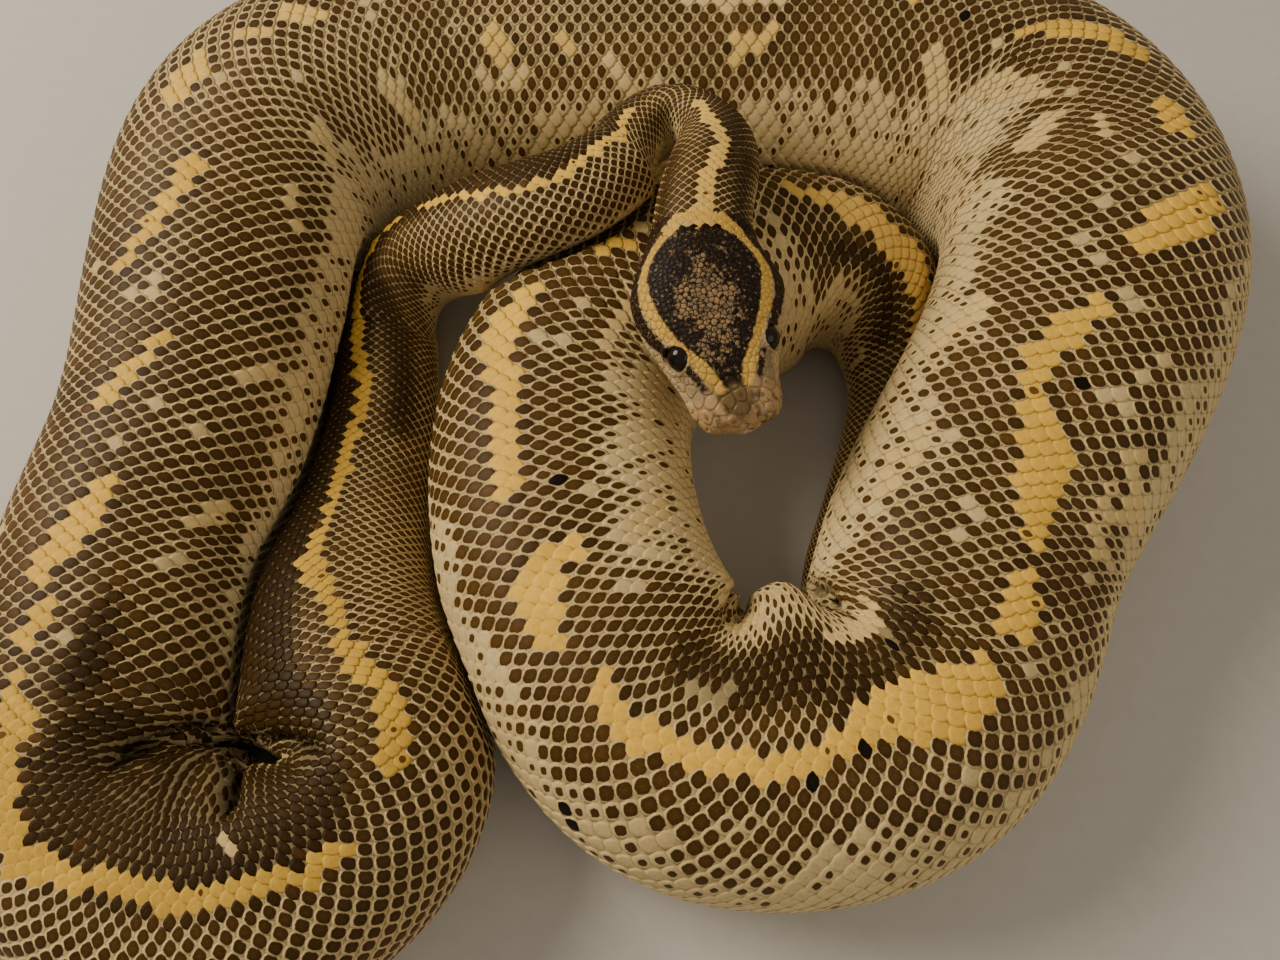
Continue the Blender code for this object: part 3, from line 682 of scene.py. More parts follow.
def body_markings(s, u, half_girth_at, cell=None):
    """Ground colour, mark colour and how much of a scale the mark fills, at each place.

    cell numbers the scales, for what differs from scale to scale.
    """
    girth = half_girth_at(s)
    sideways = u * girth
    x, y = s * 1e3, sideways * 1e3
    cell = np.arange(s.size).reshape(s.shape) if cell is None else cell
    first, second, third = (scatter(cell, cell // 7, seed) for seed in (11, 12, 13))

    # the brown field and the marks in it
    reach = np.where(u < 0, profile(BROWN_REACH, 1, s), profile(BROWN_REACH, 2, s))
    wander = (cloud(x / 9, y / 7, 3) - 0.5) * 0.08 + (cloud(x / 3.1, y / 3.1, 4) - 0.5) * 0.05
    below = (np.abs(u) - reach - wander) * girth * 1e3
    inside = smoothstep(0.5 - below / FIELD_EDGE)
    gold_depth, pale_depth, dark_and_shade_depth = (
        stroke_depth(s, sideways, half_girth_at, marks)
        for marks in (GOLD_MARKS, PALE_MARKS, DARK_FIELD_AND_SHADE)
    )
    gold = gold_depth + (first - 0.5) > 0
    pale = pale_depth + (first - 0.5) * 1.5 > 0
    # how deep each place lies in those strokes: the dark field at the nape, painted shade elsewhere
    dark_and_shade = smoothstep(dark_and_shade_depth / 6 + 0.6)
    field = inside * ~pale * ~gold

    # which scales have a dark mark: all in the field, fewer and fewer below it
    outside = np.maximum(below - 1.0, 0)
    fade = SPOT_FADE * (1 + 0.9 * window(s, *WIDE_SPOTS) * (u > 0))
    clump = smoothstep((cloud(x / 5.2, y / 4.2, 8) - 0.30) / 0.36)
    spotted = SPOT_ODDS * np.exp(-outside / fade) * (0.25 + 1.25 * clump)
    odds = np.where(outside > 0, spotted, 1.0) * smoothstep((SPOTS_TO - np.abs(u)) / 0.16)
    island = cloud(x / 9.5, y / 7.2, 17) + 0.5 * (cloud(x / 3.1, y / 2.6, 18) - 0.5)
    island = smoothstep((island + 0.30 * (first - 0.5) - 0.84) / 0.14) * (gold_depth < -3.0)
    thin = island * smoothstep((s - 0.32) / 0.03) * (0.45 + 0.55 * smoothstep((s - 0.45) / 0.03))
    odds = np.where(pale, PALE_ODDS, odds * (1 - 0.55 * thin))
    marked = second < np.where(gold, GOLD_ODDS, odds)

    # how much of its scale each mark fills
    full = MARK_SIZE + 0.06 * (third - 0.5) + 0.08 * (cloud(x / 16, y / 12, 9) - 0.5)
    # fuller marks in the dark strokes, part of the painted shade away from the nape
    full = full + 0.12 * dark_and_shade
    for change, stretch, edge, ease in MARK_CHANGES:
        full = full + change * window(s, *stretch) * smoothstep((u - edge) / ease)
    dashes = smoothstep((u - 0.20) / 0.06) * window(s, *DASHED)
    full = full * (1 - 0.25 * thin) * (1 - 0.36 * dashes)
    fill = full * inside + (0.30 + 0.24 * third) * (1 - inside)
    fill = np.where(gold | pale, 0.26 + 0.2 * third, fill)
    fill = np.where(marked, fill, 0.0)

    # the colours of the marks
    near_gold = smoothstep((gold_depth + 2.6) / 2.2) * (gold_depth < 0)
    mark = blend_colour(BROWN * 0.66, BROWN * 1.40, cloud(x / 14, y / 10, 5) * 0.70 + third * 0.30)
    # marks darkened in the same strokes, painted shade away from the nape
    mark = dimmed(mark, 1 - 0.46 * dark_and_shade)
    mark = blend_colour(mark, GOLD_EDGE, near_gold * 0.45)
    mark = blend_colour(mark, RUST, ((third > 0.92) & (gold_depth > -2.4)) * 0.12)
    mark = blend_colour(mark, RUST * 0.7, (gold & marked) * 0.4)

    # the colours between them
    ground = blend_colour(PALE, BELLY, smoothstep((np.abs(u) - 0.35) / 0.45))
    ground = dimmed(ground, 0.90 + 0.20 * cloud(x / 11, y / 11, 6))
    ground = blend_colour(ground, ground * FIELD_TINT, field * 0.45)
    # the ground darkened there in the same way, painted shade away from the nape
    ground = dimmed(ground, 1 - 0.50 * dark_and_shade * field)
    rich = dimmed(GOLD, 0.86 + 0.28 * cloud(x / 8, y / 8, 7))
    rich = dimmed(rich, 1 - 0.20 * window(s, *DARK_GOLD))
    rich = blend_colour(rich, PALE, from_table(GOLD_WASH, s))
    ground = blend_colour(ground, rich, np.where(gold, 1.0, pale * 0.22))
    for spot_s, spot_u in BLACK_SPOTS:
        away = np.hypot((s - spot_s) * 1e3, y - spot_u * half_girth_at(spot_s) * 1e3)
        hit = away < BLACK_SPOT_REACH
        fill = np.where(hit, 0.76, fill)
        mark = np.where(hit[..., None], DARKEST * 0.8, mark)
    return ground, mark, fill


# --------------------------------------------------------------------- the head's marks

HEAD_MIDDLE = -0.034  # u of the middle of the head's pattern
# The golden stripe over each eye: distance, u from the middle, half width in mm.
HEAD_STRIPE = (
    ((-0.003, 0.03, 1.8), (-0.0045, 0.13, 1.3), (-0.0062, 0.215, 1.0), (-0.0082, 0.275, 0.95),
     (-0.0105, 0.308, 1.05), (-0.0135, 0.326, 1.25), (-0.0165, 0.322, 1.4), (-0.02, 0.314, 1.45),
     (-0.0235, 0.3, 1.3), (-0.0262, 0.268, 0.9), (-0.0286, 0.236, 0.85), (-0.0312, 0.198, 1.1),
     (-0.0342, 0.155, 1.35), (-0.0362, 0.128, 1.15), (-0.0378, 0.112, 0.7)),
)
NAPE_PATCH = (
    ((0.001, 0.015, 1.5), (-0.002, 0.0, 2.0), (-0.0038, 0.0, 2.3)),
)
NAPE_FROM = -0.0085  # the patch on the nape counts from here back
SNOUT_TO = -0.0364
CAP_TO = -0.0056
CAP_CENTRE = -0.0212  # of the cap's tan part, with its half length and half width in u
CAP_LENGTH = 0.0112
CAP_WIDTH = 0.185
# The dark band from the eye back along the cheek: distance, then its middle or half width in u.
CHEEK_BAND_FROM = -0.0300
CHEEK_BAND = (
    (-0.0290, 0.335), (-0.0250, 0.39), (-0.0200, 0.425), (-0.0150, 0.425), (-0.0090, 0.41),
    (-0.0050, 0.37),
)
CHEEK_BAND_HALF = (
    (-0.0295, 0.035), (-0.0270, 0.045), (-0.0200, 0.055), (-0.0130, 0.070), (-0.0080, 0.13),
    (-0.0050, 0.24),
)
# The dark streak ahead of each eye, in the same way.
STREAK = ((-0.0365, 0.225), (-0.0310, 0.285))
STREAK_TO = -0.0312
STREAK_HALF = 0.030
CAP_TAN = (0.33, 0.200, 0.085, 1.0)
CAP_OLIVE = (0.205, 0.145, 0.075, 1.0)
CAP_DARK = np.array((0.0125, 0.0055, 0.0018))
SNOUT_TAN = np.array((0.40, 0.25, 0.115))
SNOUT_OLIVE = np.array((0.125, 0.078, 0.027))
LIP = np.array((0.46, 0.33, 0.17))
CHIN = np.array((0.60, 0.51, 0.34))
HEAD_GOLD = np.array((0.86, 0.88, 1.15))  # the head's gold, of the body's


def head_markings(s, u, half_girth_at, grain):
    """Colour of the head at each place, and how far the cap is tan there.

    The second is negative where the snout is glossy. grain is a number per plate.
    """
    from_middle = np.abs(u - HEAD_MIDDLE)
    girth = half_girth_at(s)
    x, y = s * 1e3, u * girth * 1e3
    first, second = scatter(grain, grain // 3, 31), scatter(grain, grain // 3, 32)
    jagged = first - 0.5
    stripe, nape = (
        stroke_depth(s, from_middle * girth, half_girth_at, marks)
        for marks in (HEAD_STRIPE, NAPE_PATCH)
    )
    nape = np.where(s > NAPE_FROM, nape + jagged * 0.5, -9)
    on_stripe = smoothstep((np.maximum(stripe + jagged * 0.35, nape) + 0.12) / 0.24)
    snout = smoothstep((SNOUT_TO - s + jagged * 0.0008) / 0.0022)
    chin = smoothstep((from_middle - 0.60) / 0.12)

    # the lips and the cheek
    colour = dimmed(LIP, 0.80 + 0.3 * cloud(x / 3, y / 3, 35))
    before_eye = smoothstep((-0.0290 - s) / 0.0030) * smoothstep((0.42 - from_middle) / 0.08)
    colour = blend_colour(dimmed(colour, 1 - 0.34 * before_eye), CHIN, chin)
    band_gap = np.abs(from_middle - from_table(CHEEK_BAND, s))
    on_band = (band_gap < from_table(CHEEK_BAND_HALF, s) + jagged * 0.02) & (s > CHEEK_BAND_FROM)
    colour = np.where(on_band[..., None], dimmed(CAP_DARK, 1.2 + 1.4 * second), colour)

    # the cap between the stripes
    stripe_at = from_table(HEAD_STRIPE[0][::-1], s)
    cap = (from_middle < stripe_at) & (s < CAP_TO) & (snout < 0.5)
    radius = np.hypot((s - CAP_CENTRE) / CAP_LENGTH, from_middle / CAP_WIDTH)
    tan = smoothstep((1.12 - radius + (cloud(x / 2.4, y / 2.4, 33) - 0.5) * 0.7) / 0.55) * cap
    colour = np.where(cap[..., None], dimmed(CAP_DARK, 0.8 + 0.6 * second), colour)

    # the snout, and a dark streak ahead of each eye
    between = smoothstep((0.20 - np.hypot(from_middle, (s + 0.0402) * 40)) / 0.09)
    face = blend_colour(SNOUT_TAN, SNOUT_OLIVE, between * 0.9)
    face = dimmed(face, 0.90 + 0.20 * second)
    speck = smoothstep((cloud(x / 0.9, y / 0.9, 36) - 0.70) / 0.1) * 0.65
    face = blend_colour(face, CAP_DARK * 2.2, speck)
    colour = blend_colour(colour, face, snout * (1 - chin))
    streak = np.abs(from_middle - from_table(STREAK, s)) < STREAK_HALF
    streak &= (s < STREAK_TO) & (s > STREAK[0][0]) & (first > 0.15)
    colour = np.where(streak[..., None], CAP_DARK * 2.0, colour)

    gold = dimmed(GOLD * HEAD_GOLD, 0.82 + 0.30 * cloud(x / 5, y / 5, 37))
    colour = blend_colour(colour, gold, on_stripe * smoothstep((s + 0.0388) / 0.0016))
    return colour, tan * (1 - on_stripe) - snout * (1 - chin)


# ---------------------------------------------------------------------------- materials

MARK_ROUNDNESS = 1.6  # exponent of a dark mark's outline: 1 is a diamond, 2 an ellipse
MARK_RAGGED = 0.26  # how far a mark's edge wanders, as a share of its scale
MARK_EDGE = 0.05  # how soft it is
PUPIL = (0.26, 0.62)  # half width and half height, of the eye's radius
PUPIL_BLACK = (0.002, 0.002, 0.002, 1.0)
IRIS = (0.012, 0.006, 0.003, 1.0)


def new_material(name, roughness, specular):
    material = bpy.data.materials.new(name)
    material.use_nodes = True
    tree = material.node_tree
    shader = tree.nodes["Principled BSDF"]
    shader.inputs["Roughness"].default_value = roughness
    shader.inputs["Specular IOR Level"].default_value = specular
    return material, tree, shader


def feed(tree, socket, value):
    """Gives a socket a constant or links it to another node's output."""
    if isinstance(value, (int, float, tuple)):
        socket.default_value = value
    else:
        tree.links.new(value, socket)


def node(tree, kind, values=(), **settings):
    made = tree.nodes.new(kind)
    for key, value in settings.items():
        setattr(made, key, value)
    for key, value in dict(values).items():
        feed(tree, made.inputs[key], value)
    return made


def maths(tree, operation, first, second=None):
    values = {0: first} if second is None else {0: first, 1: second}
    return node(tree, "ShaderNodeMath", values, operation=operation).outputs[0]


def product(tree, first, second):
    return maths(tree, "MULTIPLY", first, second)


def mix_colour(tree, share, first, second, mode="MIX"):
    values = {0: share, 6: first, 7: second}
    return node(tree, "ShaderNodeMix", values, data_type="RGBA", blend_type=mode).outputs[2]


def tinted(tree, colour, shade):
    return mix_colour(tree, 1.0, colour, shade, "MULTIPLY")


def noise(tree, scale, detail, where):
    values = {"Scale": scale, "Detail": detail, "Vector": where}
    return node(tree, "ShaderNodeTexNoise", values).outputs["Fac"]


def position(tree):
    return node(tree, "ShaderNodeTexCoord").outputs["Object"]


def attribute(tree, name, output="Color"):
    return node(tree, "ShaderNodeAttribute", attribute_name=name).outputs[output]


def components(tree, name):
    values = {0: attribute(tree, name, "Vector")}
    return node(tree, "ShaderNodeSeparateXYZ", values).outputs


def remap(tree, value, low, high, to_low=0.0, to_high=1.0):
    values = {0: value, 1: low, 2: high, 3: to_low, 4: to_high}
    return node(tree, "ShaderNodeMapRange", values).outputs[0]


def add_bump(tree, shader, height, strength, distance):
    values = {"Height": height, "Strength": strength, "Distance": distance}
    feed(tree, shader.inputs["Normal"], node(tree, "ShaderNodeBump", values).outputs["Normal"])


def scale_material():
    """A scale's ground with its dark mark in the middle, from the marks on the mesh."""
    material, tree, shader = new_material("scaled_coat", 0.50, 0.07)
    along, across, fill = components(tree, "place")
    where = position(tree)
    fine = noise(tree, 2600.0, 3.0, where)
    powers = (
        maths(tree, "POWER", maths(tree, "ABSOLUTE", part), MARK_ROUNDNESS)
        for part in (along, across)
    )
    radius = maths(tree, "POWER", maths(tree, "ADD", *powers), 1 / MARK_ROUNDNESS)
    wander = maths(tree, "SUBTRACT", noise(tree, 1100.0, 2.0, where), 0.5)
    ragged = maths(tree, "ADD", radius, product(tree, wander, MARK_RAGGED))
    inner = maths(tree, "SUBTRACT", fill, ragged)
    mask = remap(tree, inner, -MARK_EDGE, MARK_EDGE)
    # the mark lighter in the middle of its scale, darker towards its edge
    centre_lighter = remap(tree, radius, 0.0, 0.7, 1.35, 0.85)
    shade = product(tree, centre_lighter, remap(tree, fine, 0.3, 0.7, 0.78, 1.22))
    mark = tinted(tree, attribute(tree, "mark"), shade)
    rim = remap(tree, radius, 0.80, 1.0, 1.0, 0.80)
    soft = remap(tree, noise(tree, 900.0, 4.0, where), 0.3, 0.7, 0.88, 1.10)
    ground = tinted(tree, attribute(tree, "ground"), product(tree, rim, soft))
    feed(tree, shader.inputs["Base Color"], mix_colour(tree, mask, ground, mark))
    feed(tree, shader.inputs["Roughness"], remap(tree, fine, 0.2, 0.8, 0.36, 0.52))
    add_bump(tree, shader, fine, 0.35, 0.00012)
    return material


def skin_material():
    """The skin between the scales, with a fine grain in wide soft patches."""
    material, tree, shader = new_material("skin", 0.6, 0.2)
    where = position(tree)
    fine = noise(tree, 2200.0, 4.0, where)
    patches = remap(tree, noise(tree, 260.0, 3.0, where), 0.3, 0.7, 0.92, 1.06)
    shade = product(tree, remap(tree, fine, 0.3, 0.7, 0.82, 1.12), patches)
    feed(tree, shader.inputs["Base Color"], tinted(tree, attribute(tree, "tint"), shade))
    add_bump(tree, shader, fine, 0.4, 0.00018)
    return material


def plate_material():
    """The head's plates: own colour, tan veins on the cap, a darker rim and a glossy snout."""
    material, tree, shader = new_material("head_plates", 0.44, 0.17)
    from_middle, _, tan_share = components(tree, "place")
    where = position(tree)
    fine = noise(tree, 3000.0, 4.0, where)
    veins = maths(tree, "ADD", noise(tree, 1100.0, 6.0, where), product(tree, tan_share, 0.20))
    patches = remap(tree, noise(tree, 420.0, 3.0, where), 0.40, 0.60)
    tan = mix_colour(tree, patches, CAP_TAN, CAP_OLIVE)
    veined = product(tree, remap(tree, veins, 0.575, 0.70), 0.92)
    tint = mix_colour(tree, veined, attribute(tree, "ground"), tan)
    rim = remap(tree, from_middle, 0.6, 1.0, 1.03, 0.88)
    shade = product(tree, remap(tree, fine, 0.3, 0.7, 0.82, 1.16), rim)
    feed(tree, shader.inputs["Base Color"], tinted(tree, tint, shade))
    gloss = remap(tree, tan_share, -1.0, 0.0, 0.48, 1.0)
    rough = product(tree, remap(tree, fine, 0.2, 0.8, 0.42, 0.60), gloss)
    feed(tree, shader.inputs["Roughness"], rough)
    add_bump(tree, shader, fine, 0.3, 0.00008)
    return material


def eye_material():
    """Black pupil in a very dark brown iris, with a glossy surface."""
    material, tree, shader = new_material("eye", 0.07, 0.28)
    squares = (
        maths(tree, "POWER", maths(tree, "DIVIDE", part, half), 2.0)
        for part, half in zip(components(tree, "gaze"), PUPIL)
    )
    iris = remap(tree, maths(tree, "ADD", *squares), 0.8, 1.2)
    grain = remap(tree, noise(tree, 2500.0, 4.0, position(tree)), 0.3, 0.7, 0.4, 1.5)
    brown = tinted(tree, IRIS, grain)
    feed(tree, shader.inputs["Base Color"], mix_colour(tree, iris, PUPIL_BLACK, brown))
    return material


# ----------------------------------------------------------------------------- the skin

# Creases between the rounded folds of skin: (distance, u) along it, depth and reach in mm.
CREASES = (
    (((0.329, 0.46), (0.3275, 0.377), (0.317, 0.286), (0.311, 0.222), (0.3063, 0.15)), 6.2, 7.5),
    (((0.265, 0.48), (0.2669, 0.256), (0.2691, 0.17), (0.2701, 0.12)), 6.2, 7.0),
    (((0.2263, 0.47), (0.2329, 0.356), (0.241, 0.2), (0.2439, 0.128)), 4.2, 5.5),
    (((0.9145, 0.5), (0.9142, 0.432), (0.9076, 0.367), (0.901, 0.256)), 4.6, 5.5),
    (((0.835, 0.5), (0.8389, 0.392), (0.8458, 0.348), (0.85, 0.28)), 4.6, 5.5),
)
FOLD_CREASES = ((2, 1, 0), (4, 3))  # the creases in each fold, from its front to its back
FOLD_SAMPLES = 500
FOLD_TO = 0.62  # the skin isn't gathered beyond this u
FULL_LENGTH = 0.85  # skin pressed shorter than this share of its length goes into the creases
TUCK_PAST = 0.0025  # scales go this far past the bottom of a crease
CREASE_END = 0.06  # share of its depth that a crease keeps at its end
CREASE_SHADE_WIDTH = 1.5  # mm over which painted shade darkens the bottom of a crease
# how much the painted shade darkens the scales at the bottom of a crease
CREASE_SHADE_DIM = 0.75


class Skin:
    """The skin as a grid of rings and columns that any (s, u) can be looked up on."""

    def __init__(self, axis):
        self.axis = axis
        knots = [axis.first, HEAD_END, *(end for fold in FOLDS for end in fold), axis.last]
        steps = (HEAD_STEP, BODY_STEP, FOLD_STEP, BODY_STEP, FOLD_STEP, BODY_STEP)
        rings = [
            np.linspace(start, end, math.ceil((end - start) / step), endpoint=False)
            for start, end, step in zip(knots, knots[1:], steps)
        ]
        self.s = np.concatenate([*rings, [axis.last]])
        self.u = np.linspace(-1, 1, SKIN_COLUMNS + 1)
        self.points, self.half_girth = self.rings()
        self.points = self.sculpted_head(self.points)
        self.normals = self.find_normals(self.points)
        self.points = self.points - SKIN_DEPTH * self.taper()[:, None, None] * self.normals
        self.loose = self.stretches(self.points)
        self.points = self.creased(self.points)
        self.normals = self.find_normals(self.points)
        self.stretch = self.stretches(self.points)

    def stretches(self, points):
        """Length along the skin for each length along the axis."""
        gaps = np.linalg.norm(np.diff(points, axis=0), axis=2) / np.diff(self.s)[:, None]
        gaps = np.concatenate([gaps, gaps[-1:]])
        return (gaps + np.concatenate([gaps[:1], gaps[:-1]])) / 2

    def taper(self):
        """How the coat thins out towards the snout and the tail tip."""
        ends = smoothstep((self.s - self.axis.first - 0.030) / 0.02)
        return 0.35 + 0.65 * ends * smoothstep((self.axis.last - self.s) / 0.03)

    def rings(self):
        """The solids' own surface as even rings, and half the girth of each."""
        axis, s = self.axis, self.s
        angles = np.linspace(-math.pi, math.pi, 2 * SKIN_COLUMNS + 1)
        across, upward = outline(axis, s, angles)
        centre, side, up = (axis.at(s, v) for v in (axis.points, axis.side, axis.up))
        ring = centre[:, None] + across[..., None] * side[:, None] + upward[..., None] * up[:, None]
        step = np.linalg.norm(np.diff(ring, axis=1), axis=2)
        length = np.concatenate([np.zeros((len(s), 1)), np.cumsum(step, axis=1)], axis=1)
        half = length[:, -1] / 2
        share = length / half[:, None] - 1
        even = np.empty((len(s), len(self.u), 3))
        angle = np.empty((len(s), len(self.u)))
        for i in range(len(s)):
            for k in range(3):
                even[i, :, k] = np.interp(self.u, share[i], ring[i, :, k])
            angle[i] = np.interp(self.u, share[i], angles)
        even[:, -1] = even[:, 0]
        flat = (profile(LIFT, 1, s) < ON_FLOOR)[:, None] & (np.cos(angle) < FLAT_COSINE)
        even[..., 2] = np.where(flat, 0.0, np.maximum(even[..., 2], 0.0))
        own, centres = np.repeat(s, len(self.u)), np.repeat(centre, len(self.u), axis=0)
        moved = pressed(axis, centres, even.reshape(-1, 3), own, PRESS_GAP)
        moved = gathered(moved).reshape(even.shape)
        moved[..., 2] = np.where(flat, 0.0, moved[..., 2])
        return moved, half

    def find_normals(self, points):
        along = np.gradient(points, axis=0)
        wrapped = np.concatenate([points[:, -2:-1], points, points[:, 1:2]], axis=1)
        normals = np.cross(along, wrapped[:, 2:] - wrapped[:, :-2])
        size = np.linalg.norm(normals, axis=2, keepdims=True)
        normals = normals / np.maximum(size, 1e-12)
        centre = self.axis.at(self.s, self.axis.points)[:, None]
        return normals * np.where(np.median(dot(normals, points - centre)) < 0, -1, 1)

    def head_frame(self, behind):
        """The axis point and the forward, side and up directions at a distance behind the snout."""
        axis, s = self.axis, np.array([self.axis.first + behind])
        return [axis.at(s, v)[0] for v in (axis.points, axis.forward, axis.side, axis.up)]

    def head_place(self, behind, out, rise):
        """A point in the head: distance behind the snout, to the left and up."""
        centre, _, side, up = self.head_frame(behind)
        return centre + out * side + rise * up

    def eye(self, sign):
        """The centre of the left eye, or of the right one if sign is -1, and where it looks."""
        _, forward, side, up = self.head_frame(EYE_BACK)
        ahead, out, rise = GAZE
        look = sign * side * out + up * rise + forward * ahead
        return self.head_place(EYE_BACK, sign * EYE_OUT, EYE_RISE), unit(look)

    def from_eye(self, places, sign):
        """How far places lie from an eye's line of sight, and whether they're ahead of it."""
        centre, look = self.eye(sign)
        offset = places - centre
        ahead = offset @ look
        return np.sqrt(np.maximum(dot(offset, offset) - ahead**2, 0)), ahead > 0

    def sculpted_head(self, points):
        """Eye sockets, brows, lips, nostrils and heat pits, as moves along the normals."""
        axis, rows = self.axis, self.s < HEAD_END
        shape, normals = points[rows], self.find_normals(points)[rows]
        s = self.s[rows]
        behind = (s - axis.first)[:, None]
        centre, up = (axis.at(s, v)[:, None] for v in (axis.points, axis.up))
        mouth = dot(shape - centre, up) + MOUTH_DROP
        move = relief(np.abs(mouth), *LIPS) * smoothstep((MOUTH_LENGTH - behind) / 0.006)
        move += relief(mouth, *MOUTH_LINE) * smoothstep((MOUTH_LENGTH + 0.001 - behind) / 0.004)

        def gap_to(place, sign, shares=(1.0, 1.0, 1.0)):
            """Distance of the skin from a place in the head, counting a share of it each way."""
            back, out, rise = place
            spot = self.head_place(back, sign * out, rise)
            return np.linalg.norm((shape - spot) * np.array(shares), axis=2)

        for sign in (-1, 1):
            away, ahead = self.from_eye(shape, sign)
            socket = smoothstep((EYE_OPENING + SOCKET_EDGE - away) / 0.0008)
            lids = relief(away - EYE_OPENING, *EYE_RIM) + relief(away - EYE_OPENING, *EYE_GROOVE)
            move += (lids - SOCKET_DEPTH * socket) * ahead
            move += relief(gap_to(BROW_PLACE, sign, BROW_SHARES), *BROW)
            move += relief(gap_to(HOLLOW_PLACE, sign), *EYE_HOLLOW)
            nostril = gap_to(NOSTRIL_PLACE, sign)
            move += relief(nostril, *NOSTRIL_RIM) + relief(nostril, *NOSTRIL_HOLE)
            for pit in range(HEAT_PITS):
                back = HEAT_PIT_FROM + HEAT_PIT_STEP * pit
                half = float(from_table(HEAD_PROFILE, back))
                move += relief(gap_to((back, half * 0.985, 0.0002), sign), *HEAT_PIT)
        points = points.copy()
        points[rows] = shape + move[..., None] * normals
        return points

    def creased(self, points):
        """Deep narrow folds where the skin is gathered on the inside of tight bends, and painted
        shade along the bottom of each.
        """
        s = self.s[:, None] * 1e3
        sideways = self.u[None] * self.half_girth[:, None] * 1e3
        move = np.zeros(points.shape[:2])
        self.crease_shade = np.zeros(points.shape[:2])
        for crease, depth, reach in CREASES:
            line = flat_line(crease, self.half_girth_at)
            gap, end = np.full(move.shape, FAR), np.zeros(move.shape)
            for i in range(len(line) - 1):
                share, along, across = from_leg(s, sideways, line[i], line[i + 1])
                away = np.hypot(along * self.loose, across)
                end = np.where(away < gap, (i + share) / (len(line) - 1), end)
                gap = np.minimum(gap, away)
            fade = CREASE_END + (1 - CREASE_END) * (1 - smoothstep((end - 0.45) / 0.55))
            lobe = np.sqrt(1 - np.clip(1 - gap / reach, 0, 1) ** 2)
            move = np.maximum(move, depth * 1e-3 * (1 - lobe) * fade)
            # painted shade, strongest along the bottom of each crease
            self.crease_shade = np.maximum(self.crease_shade, relief(gap, 1.0, 0.0, CREASE_SHADE_WIDTH) * fade)
        inward = self.axis.at(self.s, self.axis.points)[:, None] - points
        inward /= np.maximum(np.linalg.norm(inward, axis=2, keepdims=True), 1e-9)
        moved = points + inward * move[..., None]
        moved[..., 2] = np.maximum(moved[..., 2], np.minimum(points[..., 2], SKIN_DEPTH))
        return moved

    def half_girth_at(self, s):
        return np.interp(s, self.s, self.half_girth)

    def look_up(self, grid, s, u):
        """Values of a grid at any places, between its rings and columns."""
        row = np.interp(s, self.s, np.arange(len(self.s)))
        return bilinear(grid, row, (u + 1) % 2.0 / 2 * SKIN_COLUMNS)

    def tuck(self, s, u):
        """Where places on the gathered skin lie once its folds have swallowed the rest.

        Gives the new s, and how many times further apart neighbours are; s is nan if hidden.
        """
        place, spread = s.copy(), np.ones(len(s))
        for (start, end), numbers in zip(FOLDS, FOLD_CREASES):
            t = np.linspace(start, end, FOLD_SAMPLES)
            lines = [np.array(CREASES[number][0]) for number in numbers]
            middles = [line[:, 0].mean() for line in lines]
            begins = np.interp(t, middles, [line[:, 1].min() for line in lines])
            table = np.full((len(t), len(self.u)), np.nan)
            share = np.ones((len(t), len(self.u)))
            for column, u_here in enumerate(self.u):
                loose = self.look_up(self.loose, t, np.full(len(t), u_here))
                begun = window(u_here, begins, FOLD_TO, 0.10, 0.08)
                kept = 1 - (1 - np.clip(loose / FULL_LENGTH, 0.16, 1)) * begun
                share[:, column] = kept
                lengths = (kept[1:] + kept[:-1]) / 2 * np.diff(t)
                total = start + np.concatenate([[0], np.cumsum(lengths)])
                cuts = [np.interp(u_here, line[::-1, 1], line[::-1, 0]) for line in lines]
                edges = [start, *cuts, end]
                # the first and last lobes stay put at the fold's ends, the others at their middles
                anchors = [start, *((a + b) / 2 for a, b in zip(cuts, cuts[1:])), end]
                for low, high, anchor in zip(edges, edges[1:], anchors):
                    inside = (t >= low - TUCK_PAST) & (t <= high + TUCK_PAST)
                    rest = anchor + total[inside] - np.interp(anchor, t, total)
                    hit = (t >= rest[0]) & (t <= rest[-1])
                    table[hit, column] = np.interp(t[hit], rest, t[inside])
            chosen = np.flatnonzero((s > start) & (s < end) & (u > 0))
            span, last = end - start, len(t) - 1
            column = (u[chosen] + 1) / 2 * SKIN_COLUMNS
            place[chosen] = bilinear(table, (s[chosen] - start) / span * last, column)
            there = (np.nan_to_num(place[chosen], nan=start) - start) / span * last
            spread[chosen] = 1 / share[there.astype(int), column.astype(int)]
        return place, spread

    def build(self, material):
        """The skin as one closed mesh, with its colours and its bake map."""
        rows, columns = len(self.s), SKIN_COLUMNS
        rings = self.points[:, :-1]
        tips = rings[[0, -1]].mean(axis=1)
        points = np.concatenate([rings.reshape(-1, 3), tips])
        front, back = rows * columns, rows * columns + 1
        ring = np.arange(columns)
        start = fan(front, ring)[:, [0, 2, 1]]
        end = fan(back, (rows - 1) * columns + ring)
        grid_s, grid_u = np.meshgrid(self.s, self.u[:-1], indexing="ij")
        ground, mark, fill = body_markings(grid_s, grid_u, self.half_girth_at)
        tint = blend_colour(ground, mark, smoothstep((fill - 0.3) / 0.4) * 0.30)
        grain = (np.round(grid_s * 1e4) * 131 + np.round(grid_u * 90)).astype(int)
        head, _ = head_markings(grid_s, grid_u, self.half_girth_at, grain)
        tint = blend_colour(head * 0.92, tint, smoothstep((grid_s - COAT_FROM) / 0.0020))
        # painted shade darkens the skin along the bottoms of the creases
        tint = dimmed(tint, 1 - 0.80 * self.crease_shade[:, :-1]).reshape(-1, 3)
        tint = np.concatenate([tint, tint[:1], tint[-1:]])
        faces = [tube(rows, columns), start, end]
        return solid_mesh("skin", points, faces, material, {"tint": tint}, self.bake_map())

